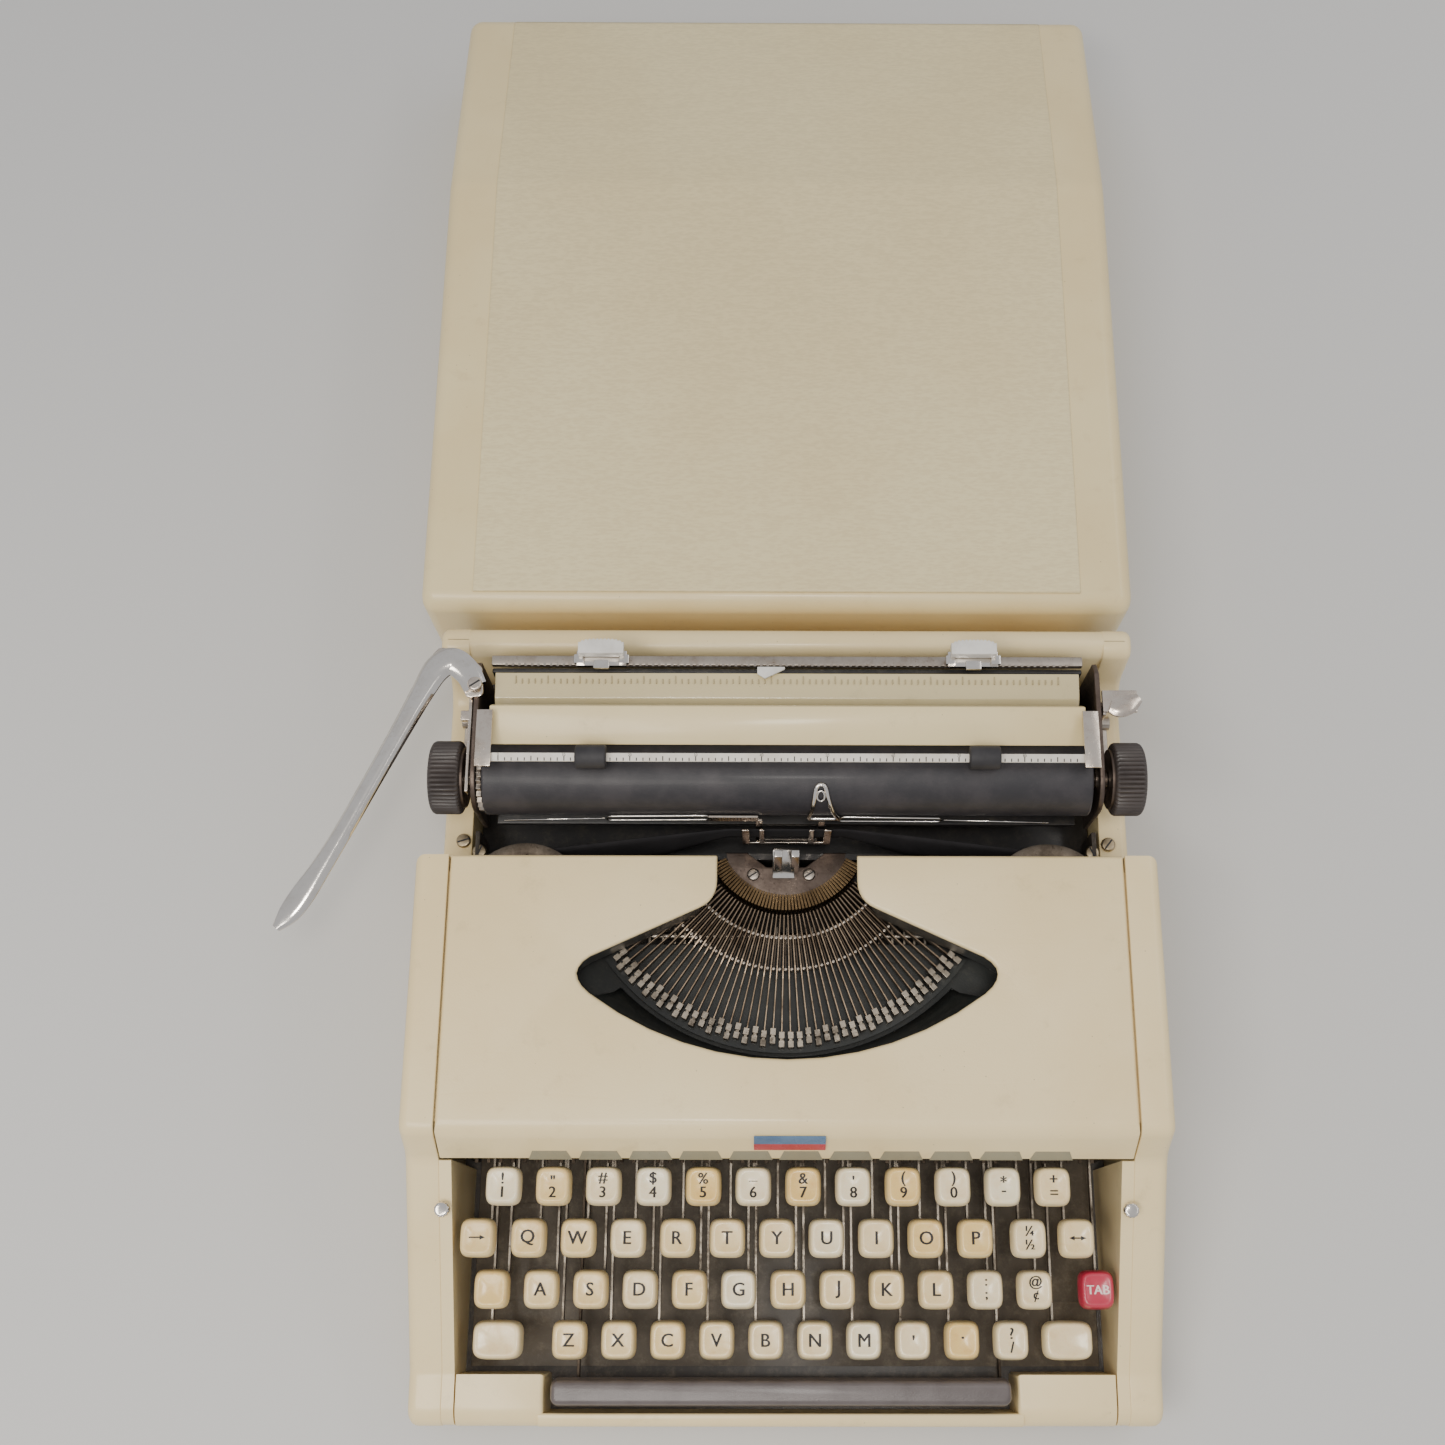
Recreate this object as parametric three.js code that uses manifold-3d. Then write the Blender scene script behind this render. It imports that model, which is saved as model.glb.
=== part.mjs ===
// A portable manual typewriter with its carrying lid set down behind it.
// Millimetres. X runs to the typist's right, Y runs from the front edge to the back, Z is up.
// Y = 0 is the front edge of the body and Z = 0 the table, until the last lines centre the whole.

import * as THREE from 'three';
import { mergeVertices } from 'three/addons/utils/BufferGeometryUtils.js';
import Module from 'manifold-3d';

const wasm = await Module();
wasm.setup();

// ---------------------------------------------------------------- driving sizes

const FIT = 0.3; // clearance between pieces that touch or run in each other

// body
const SIDE_WIDTH = 18; // body side beside the keyboard
const REAR_STEP = 4; // the body is this much narrower on each side beside the carriage
const COVER_DEPTH = 115; // keyboard to the back edge of the ribbon cover
const COVER_SIDE = 13.6; // body side beside the ribbon cover
const CARRIAGE_BAY = 85; // ribbon cover to the rear bar
const BODY_WALL = 2;
const BODY_BOTTOM = 6;
const LEDGE_DEPTH = 19; // front ledge, holding the space bar
const LEDGE_HEIGHT = 35;
const SHOULDER_HEIGHT = 70.5; // where the keyboard sides meet the cover
const LIP_DEPTH = 9; // the cover's slanted lip, seen from above
const COVER_HEIGHT = 88;
const COVER_SHEET = 2; // thickness of the ribbon cover
const RAIL_HEIGHT = 52; // body sides beside the carriage
const REAR_BAR_DEPTH = 12;
const REAR_BAR_HEIGHT = 85;

// base
const PAN_THICKNESS = 1.5;
const PAN_RIM = 8;
const FOOT_RADIUS = 10;
const FOOT_INSET_X = 28; // foot centre from the side
const FOOT_INSET_Y = 22; // foot centre from the front or back edge

// keyboard
const KEY_PITCH = 19.05;
// middle of each row's first key and of the side keys, in key pitches from the middle plane
const NUMBER_START = -5.6745;
const UPPER_START = -5.1969;
const HOME_START = -4.9659;
const LOWER_START = -4.4147;
const SIDE_KEYS = [-6.2205, 5.8425, -5.9685, 6.2887, -5.874, 5.7375];
const WELL_PITCHES = 6.7192; // half width of the keyboard well
const CAP_WIDTH = 13.7;
const CAP_DEPTH = 14.6;
const CAP_HEIGHT = 6.5;
const SHIFT_CAP_WIDTH = 19.5;
const KEY_ROW_SPACING = 18.7; // front to back, seen from above
const KEY_ROW_RISE = 10.2;
const LOWER_ROW_Y = 31.6;
const LOWER_ROW_TOP = 39.8;
const LEVER_THICKNESS = 1.2;
const LEVER_BOTTOM = 22;
const LEVER_HEIGHT = 4;
const FULCRUM_INSET = 22; // key lever shaft from the cover's back edge
const FULCRUM_Z = 34;
const SHAFT_RADIUS = 1.5;
const ROW_BAR_SIDE = 3; // square bar tying one row's levers together
const ROW_BAR_PITCH = 8;
const PLATE_THICKNESS = 1;
const SPACE_BAR_PITCHES = 9.3438; // its length
const SPACE_BAR_X = -2;
const SPACE_BAR_DEPTH = 10.5;
const SPACE_BAR_TOP = 42;
const SPACE_BAR_HEIGHT = 8;
const SPACE_PIVOT_Z = 10.5;

// type basket
const PRINT_DEPTH = 4.5; // centre that the typebars point to, behind the platen's face
const TYPEBAR_COUNT = 44;
const FAN_ANGLE = 104; // degrees from the first typebar to the last
const PIVOT_RADIUS = 35; // typebar pivots from the print centre
const SLUG_RADIUS = 90; // far end of the type slugs
const SLUG_LENGTH = 6;
const SLUG_WIDTH = 3;
const SLUG_HEIGHT = 7;
const TYPEBAR_THICKNESS = 1;
const TYPEBAR_HEIGHT = 4;
const TYPEBAR_Z = 46; // pivot height
const SEGMENT_HEIGHT = 12;
const SEGMENT_WIDTH = 8;

// ribbon
const SPOOL_INSET = 18; // spool centre from the cover's back edge
const SPOOL_RADIUS = 25;
const SPOOL_HEIGHT = 16;
const WOUND_SHARE = 0.8; // wound ribbon against the spool's flange
const SPOOL_BOTTOM = 62;
const CUP_WALL = 1.5;
const RIBBON_WIDTH = 12.7;
const RIBBON_BOTTOM = 64;

// carriage
const PLATEN_RADIUS = 14.5;
const PLATEN_SETBACK = 30; // platen axis from the cover's back edge
const PLATEN_Z = 92;
const PLATEN_LENGTH = 238;
const PLATEN_SHAFT_RADIUS = 4;
const KNOB_RADIUS = 14.5;
const KNOB_LENGTH = 13.5;
const KNOB_STANDOFF = 3.2; // end plate to knob
const END_PLATE_THICKNESS = 2;
const END_PLATE_TOP = 105.5;
const RATCHET_WIDTH = 1.9;
const RATCHET_TEETH = 26;
const RAIL_RADIUS = 3;
const RAIL_Z = 58.5;
const FRAME_FLOOR = 63;
const FRAME_THICKNESS = 3;
const FRAME_TOP = 98;
const SHEET = 1.2; // thickness of the paper table and the deflector
const SHEET_INSET = 2.7; // platen end to the edge of the paper table
const BAIL_ROLLER_RADIUS = 4.6;
const BAIL_ROLLER_LENGTH = 12;
const BAIL_ROLLER_X = 76;
const STOP_X = 74;
const STOP_WIDTH = 22;

// lid, lying behind the machine with its outside up
const LID_GAP = 12; // body to lid
const LID_X = -4; // the lid lies a little to the left of the machine
const LID_OVERLAP = 4; // lid side outside the body side
const LID_WALL = 2;
const LID_HEIGHT = 76;
const LID_FLAT = 208;
const LID_SLOPE = 111;
const LID_LOW_HEIGHT = 53;
const LID_PANEL_HALF_WIDTH = 128;
const LID_PANEL_RISE = 0.8;

// ---------------------------------------------------------------- places that follow

const WELL_HALF_WIDTH = WELL_PITCHES * KEY_PITCH;
const BODY_HALF_WIDTH = WELL_HALF_WIDTH + SIDE_WIDTH; // across the ribbon cover and the keyboard
const REAR_HALF_WIDTH = BODY_HALF_WIDTH - REAR_STEP;
const COVER_HALF_WIDTH = BODY_HALF_WIDTH - COVER_SIDE;
const LID_HALF_WIDTH = BODY_HALF_WIDTH + LID_OVERLAP;
const SPACE_BAR_LENGTH = SPACE_BAR_PITCHES * KEY_PITCH;

const SHOULDER_Y = LEDGE_DEPTH + 4 * KEY_ROW_SPACING + 3.2; // back of the keyboard well
const CREASE_Y = SHOULDER_Y + LIP_DEPTH;
const COVER_BACK = SHOULDER_Y + COVER_DEPTH;
const REAR_BAR_FRONT = COVER_BACK + CARRIAGE_BAY;
const BODY_DEPTH = REAR_BAR_FRONT + REAR_BAR_DEPTH;
const FULCRUM_Y = COVER_BACK - FULCRUM_INSET;
const SPACE_PIVOT_Y = SHOULDER_Y + 23;
const SPOOL_Y = COVER_BACK - SPOOL_INSET;

const PLATEN_Y = COVER_BACK + PLATEN_SETBACK;
const platenFront = PLATEN_Y - PLATEN_RADIUS;
const PRINT_Y = platenFront + PRINT_DEPTH;
const RAIL_FRONT_Y = PLATEN_Y + 5;
const RAIL_REAR_Y = PLATEN_Y + 34;
const FRAME_FRONT = PLATEN_Y - 12;
const FRAME_BACK = PLATEN_Y + 44;
const SHEET_HALF_WIDTH = PLATEN_LENGTH / 2 - SHEET_INSET;
const BAIL_Y = PLATEN_Y + 2.9;
const BAIL_Z = PLATEN_Z + PLATEN_RADIUS + BAIL_ROLLER_RADIUS + 0.9;
const BAIL_PIVOT_Y = PLATEN_Y + PLATEN_RADIUS + 5.5;
const BAIL_PIVOT_Z = PLATEN_Z + 6;

// ---------------------------------------------------------------- finishes

const finish = (color, roughness, metalness) => ({ color, roughness, metalness });
const CREAM = finish(0xd9c7a4, 0.45, 0);
const SHEET_CREAM = finish(0xc8b994, 0.5, 0);
const LID_CREAM = finish(0xd2c4a5, 0.7, 0);
const KEY_IVORY = finish(0xe0cda5, 0.35, 0);
const TAB_RED = finish(0xb8304a, 0.35, 0);
const BADGE_BLUE = finish(0x5a7896, 0.3, 0.2);
const BROWN_PAINT = finish(0x5c5040, 0.6, 0.1);
const BLACK_METAL = finish(0x22201f, 0.45, 0.5);
const CASTING = finish(0x4a4038, 0.5, 0.6);
const STEEL = finish(0x9a9084, 0.35, 0.9);
const CHROME = finish(0xc8c0b4, 0.15, 1);
const RUBBER = finish(0x1f1e1f, 0.7, 0);
const KNOB_PLASTIC = finish(0x3a322e, 0.5, 0);
const GREY_PLASTIC = finish(0x625c5b, 0.5, 0);
const CLEAR_PLASTIC = finish(0xd8dcd8, 0.2, 0);
const INKED_CLOTH = finish(0x141214, 0.9, 0);

// ---------------------------------------------------------------- shape tools

const AXES = {
  // width and height of an outline, then the way it is pushed out
  X: new THREE.Matrix4().makeBasis(
    new THREE.Vector3(0, 1, 0), new THREE.Vector3(0, 0, 1), new THREE.Vector3(1, 0, 0)),
  Y: new THREE.Matrix4().makeBasis(
    new THREE.Vector3(-1, 0, 0), new THREE.Vector3(0, 0, 1), new THREE.Vector3(0, 1, 0)),
  Z: new THREE.Matrix4(),
};

function outline(points) {
  return new THREE.Shape(points.map(([across, up]) => new THREE.Vector2(across, up)));
}

// Points round an arc; angles in degrees, counted from the first axis of the outline.
function arc(x, y, radius, from, to, sides) {
  return Array.from({ length: sides + 1 }, (_, i) => {
    const angle = THREE.MathUtils.degToRad(from + (to - from) * i / sides);
    return [x + radius * Math.cos(angle), y + radius * Math.sin(angle)];
  });
}

function circle(x, y, radius, sides = 12) {
  return outline(arc(x, y, radius, 0, 360 * (1 - 1 / sides), sides - 1));
}

// An outline pushed along one axis; its points are (Y, Z) along X, (-X, Z) along Y and (X, Y) along Z.
function push(axis, shape, from, to, curveSegments = 4) {
  const solid = new THREE.ExtrudeGeometry(shape, { depth: to - from, bevelEnabled: false, curveSegments });
  return solid.translate(0, 0, from).applyMatrix4(AXES[axis]);
}

function box(x0, x1, y0, y1, z0, z1) {
  const solid = new THREE.BoxGeometry(x1 - x0, y1 - y0, z1 - z0);
  return solid.translate((x0 + x1) / 2, (y0 + y1) / 2, (z0 + z1) / 2);
}

// A cylinder along X or Z from one end to the other.
function rod(axis, radius, from, to, at, sides = 16) {
  const solid = new THREE.CylinderGeometry(radius, radius, to - from, sides);
  if (axis === 'X') {
    return solid.rotateZ(Math.PI / 2).translate((from + to) / 2, at[0], at[1]);
  }
  return solid.rotateX(Math.PI / 2).translate(at[0], at[1], (from + to) / 2);
}

function toManifold(geometry) {
  const bare = geometry.index ? geometry.toNonIndexed() : geometry.clone();
  bare.deleteAttribute('normal');
  bare.deleteAttribute('uv');
  const merged = mergeVertices(bare, 1e-4);
  const mesh = new wasm.Mesh({
    numProp: 3,
    vertProperties: new Float32Array(merged.attributes.position.array),
    triVerts: new Uint32Array(merged.index.array),
  });
  return new wasm.Manifold(mesh);
}

function toGeometry(manifold) {
  const mesh = manifold.getMesh();
  const geometry = new THREE.BufferGeometry();
  geometry.setAttribute('position', new THREE.BufferAttribute(mesh.vertProperties, 3));
  geometry.setIndex(new THREE.BufferAttribute(mesh.triVerts, 1));
  geometry.computeVertexNormals();
  return geometry;
}

function join(...solids) {
  return toGeometry(solids.map(toManifold).reduce((sum, next) => sum.add(next)));
}

function cut(solid, ...tools) {
  return toGeometry(tools.map(toManifold).reduce((left, tool) => left.subtract(tool), toManifold(solid)));
}

const typewriter = new THREE.Group();

function piece(name, geometry, look) {
  const mesh = new THREE.Mesh(geometry, new THREE.MeshStandardMaterial(look));
  mesh.name = name;
  typewriter.add(mesh);
  return mesh;
}

function bothSides(make) {
  make('left', -1);
  make('right', 1);
}

// ---------------------------------------------------------------- body

// Side view of the body, drawn at a distance in from its outer face.
function bodyProfile(inset) {
  const radius = REAR_BAR_DEPTH / 2;
  const shape = new THREE.Shape();
  const floor = inset > 0 ? BODY_BOTTOM - 1 : BODY_BOTTOM;
  shape.moveTo(inset, floor);
  shape.lineTo(inset, LEDGE_HEIGHT - 9);
  shape.quadraticCurveTo(inset, LEDGE_HEIGHT - 1 - inset, 8 + inset / 2, LEDGE_HEIGHT - 1 - inset);
  shape.lineTo(LEDGE_DEPTH, LEDGE_HEIGHT - inset);
  shape.lineTo(SHOULDER_Y + inset, SHOULDER_HEIGHT - inset);
  shape.lineTo(CREASE_Y + inset, COVER_HEIGHT - inset);
  shape.lineTo(COVER_BACK - inset, COVER_HEIGHT - inset);
  shape.lineTo(COVER_BACK - inset, RAIL_HEIGHT - inset);
  shape.lineTo(REAR_BAR_FRONT - 12, RAIL_HEIGHT - inset);
  shape.quadraticCurveTo(
    REAR_BAR_FRONT + inset, RAIL_HEIGHT - inset, REAR_BAR_FRONT + inset, REAR_BAR_HEIGHT - radius);
  shape.absarc(
    REAR_BAR_FRONT + radius, REAR_BAR_HEIGHT - radius, radius - inset, Math.PI, 0, true);
  shape.lineTo(BODY_DEPTH - inset, floor);
  return shape;
}

function bodyShell() {
  const width = BODY_HALF_WIDTH;
  const rear = REAR_HALF_WIDTH;
  const wellFront = LEDGE_DEPTH;
  const wallBottom = LEVER_BOTTOM;
  const outer = cut(
    push('X', bodyProfile(0), -width, width),
    box(rear, width + 1, COVER_BACK, BODY_DEPTH + 1, 0, COVER_HEIGHT),
    box(-width - 1, -rear, COVER_BACK, BODY_DEPTH + 1, 0, COVER_HEIGHT));
  const hollow = cut(
    push('X', bodyProfile(BODY_WALL), -width + BODY_WALL, width - BODY_WALL),
    box(rear - BODY_WALL, width, COVER_BACK - BODY_WALL, BODY_DEPTH, 0, COVER_HEIGHT),
    box(-width, BODY_WALL - rear, COVER_BACK - BODY_WALL, BODY_DEPTH, 0, COVER_HEIGHT),
    box(-WELL_HALF_WIDTH - 1.6, WELL_HALF_WIDTH + 1.6, wellFront - 1.6, SHOULDER_Y, wallBottom, 90));
  const spaceHalf = SPACE_BAR_LENGTH / 2 + 2.5;
  const shell = cut(
    outer,
    hollow,
    box(-WELL_HALF_WIDTH, WELL_HALF_WIDTH, wellFront, SHOULDER_Y + 1, wallBottom - 1, 90),
    box(SPACE_BAR_X - spaceHalf, SPACE_BAR_X + spaceHalf, 5, wellFront + 1, wallBottom, 60),
    box(-COVER_HALF_WIDTH, COVER_HALF_WIDTH, SHOULDER_Y, COVER_BACK + 1, 30, 90),
    box(-REAR_HALF_WIDTH + 12, REAR_HALF_WIDTH - 12, COVER_BACK - 3, REAR_BAR_FRONT - 1, 30, 84));
  // ledges that the ribbon cover sits on
  const seatY = [CREASE_Y + 4, COVER_BACK - 6];
  const seats = [-1, 1].map((side) => join(
    box(...inOrder(side, COVER_HALF_WIDTH, COVER_HALF_WIDTH + 2), ...seatY, 81, COVER_HEIGHT - 1),
    box(...inOrder(side, COVER_HALF_WIDTH - 6, COVER_HALF_WIDTH + 1), ...seatY, 81,
      COVER_HEIGHT - COVER_SHEET - FIT * 2)));
  return join(shell, ...seats);
}

// Two distances from the middle plane, on one side of it, in rising order.
function inOrder(side, near, far) {
  return side > 0 ? [near, far] : [-far, -near];
}

piece('body_shell', bodyShell(), CREAM);

const panHalf = REAR_HALF_WIDTH - BODY_WALL - FIT;
const panFront = BODY_WALL + FIT;
const panBack = BODY_DEPTH - BODY_WALL - FIT;
const panTop = BODY_BOTTOM + PAN_THICKNESS;
const footPlaces = [
  ['foot_front_left', -1, FOOT_INSET_Y],
  ['foot_front_right', 1, FOOT_INSET_Y],
  ['foot_rear_left', -1, BODY_DEPTH - FOOT_INSET_Y],
  ['foot_rear_right', 1, BODY_DEPTH - FOOT_INSET_Y],
].map(([name, side, y]) => [name, side * (BODY_HALF_WIDTH - FOOT_INSET_X), y]);
piece('base_pan', cut(
  box(-panHalf, panHalf, panFront, panBack, BODY_BOTTOM, BODY_BOTTOM + PAN_RIM),
  box(PAN_THICKNESS - panHalf, panHalf - PAN_THICKNESS, panFront + PAN_THICKNESS,
    panBack - PAN_THICKNESS, panTop, BODY_BOTTOM + PAN_RIM + 1)), BROWN_PAINT);
for (const [name, x, y] of footPlaces) {
  piece(name, rod('Z', FOOT_RADIUS, 0, BODY_BOTTOM - FIT, [x, y], 20), RUBBER);
}

// ---------------------------------------------------------------- ribbon cover and badge

const coverFront = SHOULDER_Y + FIT;

function basketOpening() {
  const shape = new THREE.Shape();
  const neck = 27.4;
  const wing = 76;
  const radius = 128;
  const bottom = PRINT_Y - SLUG_RADIUS - 9;
  const swing = Math.asin(wing / radius);
  shape.moveTo(-neck, COVER_BACK + 1);
  shape.lineTo(-neck, COVER_BACK - 10);
  shape.quadraticCurveTo(-neck, COVER_BACK - 18, -neck - 7, COVER_BACK - 21);
  shape.lineTo(-wing, COVER_BACK - 40);
  shape.quadraticCurveTo(-wing - 10, COVER_BACK - 46, -wing, bottom + radius * (1 - Math.cos(swing)));
  shape.absarc(0, bottom + radius, radius, -Math.PI / 2 - swing, -Math.PI / 2 + swing, false);
  shape.quadraticCurveTo(wing + 10, COVER_BACK - 46, wing, COVER_BACK - 40);
  shape.lineTo(neck + 7, COVER_BACK - 21);
  shape.quadraticCurveTo(neck, COVER_BACK - 18, neck, COVER_BACK - 10);
  shape.lineTo(neck, COVER_BACK + 1);
  return shape;
}

const coverProfile = outline([
  [coverFront, SHOULDER_HEIGHT + 1.5],
  [CREASE_Y, COVER_HEIGHT],
  [COVER_BACK, COVER_HEIGHT],
  [COVER_BACK, COVER_HEIGHT - COVER_SHEET],
  [CREASE_Y + 1.2, COVER_HEIGHT - COVER_SHEET],
  [coverFront + 2.2, SHOULDER_HEIGHT + 0.9],
]);
piece('ribbon_cover', cut(
  push('X', coverProfile, FIT - COVER_HALF_WIDTH, COVER_HALF_WIDTH - FIT),
  push('Z', basketOpening(), COVER_HEIGHT - 8, COVER_HEIGHT + 8, 6)), CREAM);

const lipAngle = Math.atan2(COVER_HEIGHT - SHOULDER_HEIGHT - 1.5, CREASE_Y - coverFront);
const badge = piece('name_badge', new THREE.BoxGeometry(27, 6.5, 0.6), BADGE_BLUE);
badge.rotation.x = lipAngle;
badge.position.set(
  0,
  (coverFront + CREASE_Y) / 2 - (0.3 + FIT) * Math.sin(lipAngle),
  (SHOULDER_HEIGHT + 1.5 + COVER_HEIGHT) / 2 + (0.3 + FIT) * Math.cos(lipAngle));

// chrome studs in the keyboard sides that the lid's catches grip
bothSides((side, sign) => {
  const y = SHOULDER_Y - 18;
  const slope = (SHOULDER_HEIGHT - LEDGE_HEIGHT) / (SHOULDER_Y - LEDGE_DEPTH);
  const z = LEDGE_HEIGHT + (y + 3 - LEDGE_DEPTH) * slope + FIT;
  piece(`latch_stud_${side}`, rod('Z', 3, z, z + 3.5, [sign * (WELL_HALF_WIDTH + 3.2), y], 12), CHROME);
});

// ---------------------------------------------------------------- keyboard

piece('keyboard_plate', box(
  2 - WELL_HALF_WIDTH, WELL_HALF_WIDTH - 2, LEDGE_DEPTH + 2, SPACE_PIVOT_Y - 4,
  panTop + FIT, panTop + FIT + PLATE_THICKNESS), BROWN_PAINT);

const frameHalf = WELL_HALF_WIDTH - 1.5;
piece('mechanism_frame', join(
  ...[-1, 1].map((side) => box(
    ...inOrder(side, frameHalf, frameHalf + 2), SHOULDER_Y + 3, COVER_BACK + 18,
    panTop + FIT, RAIL_HEIGHT + 2)),
  box(-frameHalf - 1, frameHalf + 1, COVER_BACK - 6, COVER_BACK + 6, panTop + FIT, 11),
  box(-frameHalf - 1, frameHalf + 1, SHOULDER_Y + 7, SHOULDER_Y + 11,
    LEVER_BOTTOM + LEVER_HEIGHT + FIT, LEVER_BOTTOM + LEVER_HEIGHT + 4)), BLACK_METAL);
piece('fulcrum_shaft', rod(
  'X', SHAFT_RADIUS, FIT - frameHalf, frameHalf - FIT, [FULCRUM_Y, FULCRUM_Z], 12), STEEL);

const rowY = (row) => LOWER_ROW_Y + row * KEY_ROW_SPACING;
const rowTop = (row) => LOWER_ROW_TOP + row * KEY_ROW_RISE;

// A key cap: a rounded block, narrower at the top.
function cap(x, row, width = CAP_WIDTH) {
  const corner = 3.5;
  const [w, d] = [width / 2, CAP_DEPTH / 2];
  const shape = outline([
    [-w, corner - d], [corner - w, -d], [w - corner, -d], [w, corner - d],
    [w, d - corner], [w - corner, d], [corner - w, d], [-w, d - corner]]);
  const solid = push('Z', shape, 0, CAP_HEIGHT, 1);
  const spots = solid.attributes.position;
  for (let i = 0; i < spots.count; i += 1) {
    if (spots.getZ(i) > CAP_HEIGHT / 2) {
      spots.setX(i, spots.getX(i) * (1 - 2 / width));
      spots.setY(i, spots.getY(i) * (1 - 2 / CAP_DEPTH));
    }
  }
  return solid.translate(x, rowY(row), rowTop(row) - CAP_HEIGHT);
}

// Side view of a key lever: stem under the cap, straight arm, and a forked tail round the shaft.
function lever(x, row, barY) {
  const y = rowY(row);
  const top = LEVER_BOTTOM + LEVER_HEIGHT;
  const fork = SHAFT_RADIUS + FIT;
  const tail = [
    [FULCRUM_Y - 10, top], [FULCRUM_Y - 4, FULCRUM_Z + 4], [FULCRUM_Y + 4, FULCRUM_Z + 4],
    [FULCRUM_Y + 4, FULCRUM_Z + fork], [FULCRUM_Y - fork, FULCRUM_Z + fork],
    [FULCRUM_Y - fork, FULCRUM_Z - fork], [FULCRUM_Y + 4, FULCRUM_Z - fork],
    [FULCRUM_Y + 4, FULCRUM_Z - 4], [FULCRUM_Y, FULCRUM_Z - 4], [FULCRUM_Y - 5, LEVER_BOTTOM]];
  const tab = barY === undefined ? [] : [
    [barY + 1, LEVER_BOTTOM], [barY + 1, LEVER_BOTTOM - 6], [barY - 1, LEVER_BOTTOM - 6],
    [barY - 1, LEVER_BOTTOM]];
  const shape = outline([
    [y - 2.5, LEVER_BOTTOM], [y - 2.5, rowTop(row) - CAP_HEIGHT + 1],
    [y + 2.5, rowTop(row) - CAP_HEIGHT + 1], [y + 2.5, top], ...tail, ...tab]);
  return push('X', shape, x - LEVER_THICKNESS / 2, x + LEVER_THICKNESS / 2);
}

const keyX = (start, steps) => (start + steps) * KEY_PITCH;
const rowKeys = (start, count) => Array.from({ length: count }, (_, i) => keyX(start, i));
const letterKeyX = keyX(HOME_START, 5);
const keyRows = [
  ['key_row_lower', 0, rowKeys(LOWER_START, 10)],
  ['key_row_home', 1, rowKeys(HOME_START, 11).filter((x) => x !== letterKeyX)],
  ['key_row_upper', 2, [...rowKeys(UPPER_START, 10), keyX(UPPER_START, 10) + 1.4]],
  ['key_row_number', 3, rowKeys(NUMBER_START, 12)],
];
for (const [name, row, places] of keyRows) {
  const barY = FULCRUM_Y - 14 - ROW_BAR_PITCH * (3 - row);
  const barTop = LEVER_BOTTOM - 5;
  piece(name, join(
    ...places.map((x) => cap(x, row)),
    ...places.map((x) => lever(x, row, barY)),
    box(Math.min(...places) - 1, Math.max(...places) + 1, barY - ROW_BAR_SIDE / 2,
      barY + ROW_BAR_SIDE / 2, barTop - ROW_BAR_SIDE, barTop)), KEY_IVORY);
}

const sideKeyX = SIDE_KEYS.map((pitches) => keyX(pitches, 0));
const singleKeys = [
  ['letter_key', letterKeyX, 1, CAP_WIDTH, KEY_IVORY],
  ['margin_release_key', sideKeyX[0], 2, CAP_WIDTH, KEY_IVORY],
  ['backspace_key', sideKeyX[1], 2, CAP_WIDTH, KEY_IVORY],
  ['shift_lock_key', sideKeyX[2], 1, CAP_WIDTH, KEY_IVORY],
  ['tab_key', sideKeyX[3], 1, CAP_WIDTH, TAB_RED],
  ['shift_key_left', sideKeyX[4], 0, SHIFT_CAP_WIDTH, KEY_IVORY],
  ['shift_key_right', sideKeyX[5], 0, SHIFT_CAP_WIDTH, KEY_IVORY],
];
for (const [name, x, row, width, look] of singleKeys) {
  piece(name, join(cap(x, row, width), lever(x, row)), look);
}

function spaceBar() {
  const back = 7.5 + SPACE_BAR_DEPTH;
  const half = SPACE_BAR_LENGTH / 2;
  const armTop = LEVER_BOTTOM - 4;
  const arm = outline([
    [back - 5, armTop - 4], [back - 5, SPACE_BAR_TOP - SPACE_BAR_HEIGHT + 1],
    [back - 1, SPACE_BAR_TOP - SPACE_BAR_HEIGHT + 1], [back - 1, armTop], [SPACE_PIVOT_Y + 4, armTop],
    [SPACE_PIVOT_Y + 4, SPACE_PIVOT_Z - 2.6], [SPACE_PIVOT_Y - 4, SPACE_PIVOT_Z - 2.6],
    [SPACE_PIVOT_Y - 4, armTop - 4]]);
  arm.holes.push(circle(SPACE_PIVOT_Y, SPACE_PIVOT_Z, SHAFT_RADIUS + FIT));
  const bar = box(
    SPACE_BAR_X - half, SPACE_BAR_X + half, 7.5, back, SPACE_BAR_TOP - SPACE_BAR_HEIGHT, SPACE_BAR_TOP);
  // each arm runs midway between two neighbouring key levers
  const armX = [
    (keyX(LOWER_START, 0) + keyX(UPPER_START, 1)) / 2,
    (keyX(NUMBER_START, 10) + keyX(LOWER_START, 9)) / 2];
  return join(bar, ...armX.map((x) => push('X', arm, x - 0.6, x + 0.6)));
}
piece('space_bar', spaceBar(), GREY_PLASTIC);

// ---------------------------------------------------------------- type basket

// An outline in the flat: a sector of a ring round the print centre, facing the typist.
function ringSector(inner, outer, halfAngle, sides) {
  return outline([
    ...arc(0, PRINT_Y, outer, -90 - halfAngle, halfAngle - 90, sides),
    ...arc(0, PRINT_Y, inner, halfAngle - 90, -90 - halfAngle, sides)]);
}

const ringOuter = PIVOT_RADIUS - 2;
const segmentOuter = ringOuter - 3;
const segmentTop = TYPEBAR_Z + TYPEBAR_HEIGHT / 2;
piece('type_segment', push(
  'Z', ringSector(segmentOuter - SEGMENT_WIDTH, segmentOuter, 62, 16),
  segmentTop - SEGMENT_HEIGHT, segmentTop), CASTING);

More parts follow.
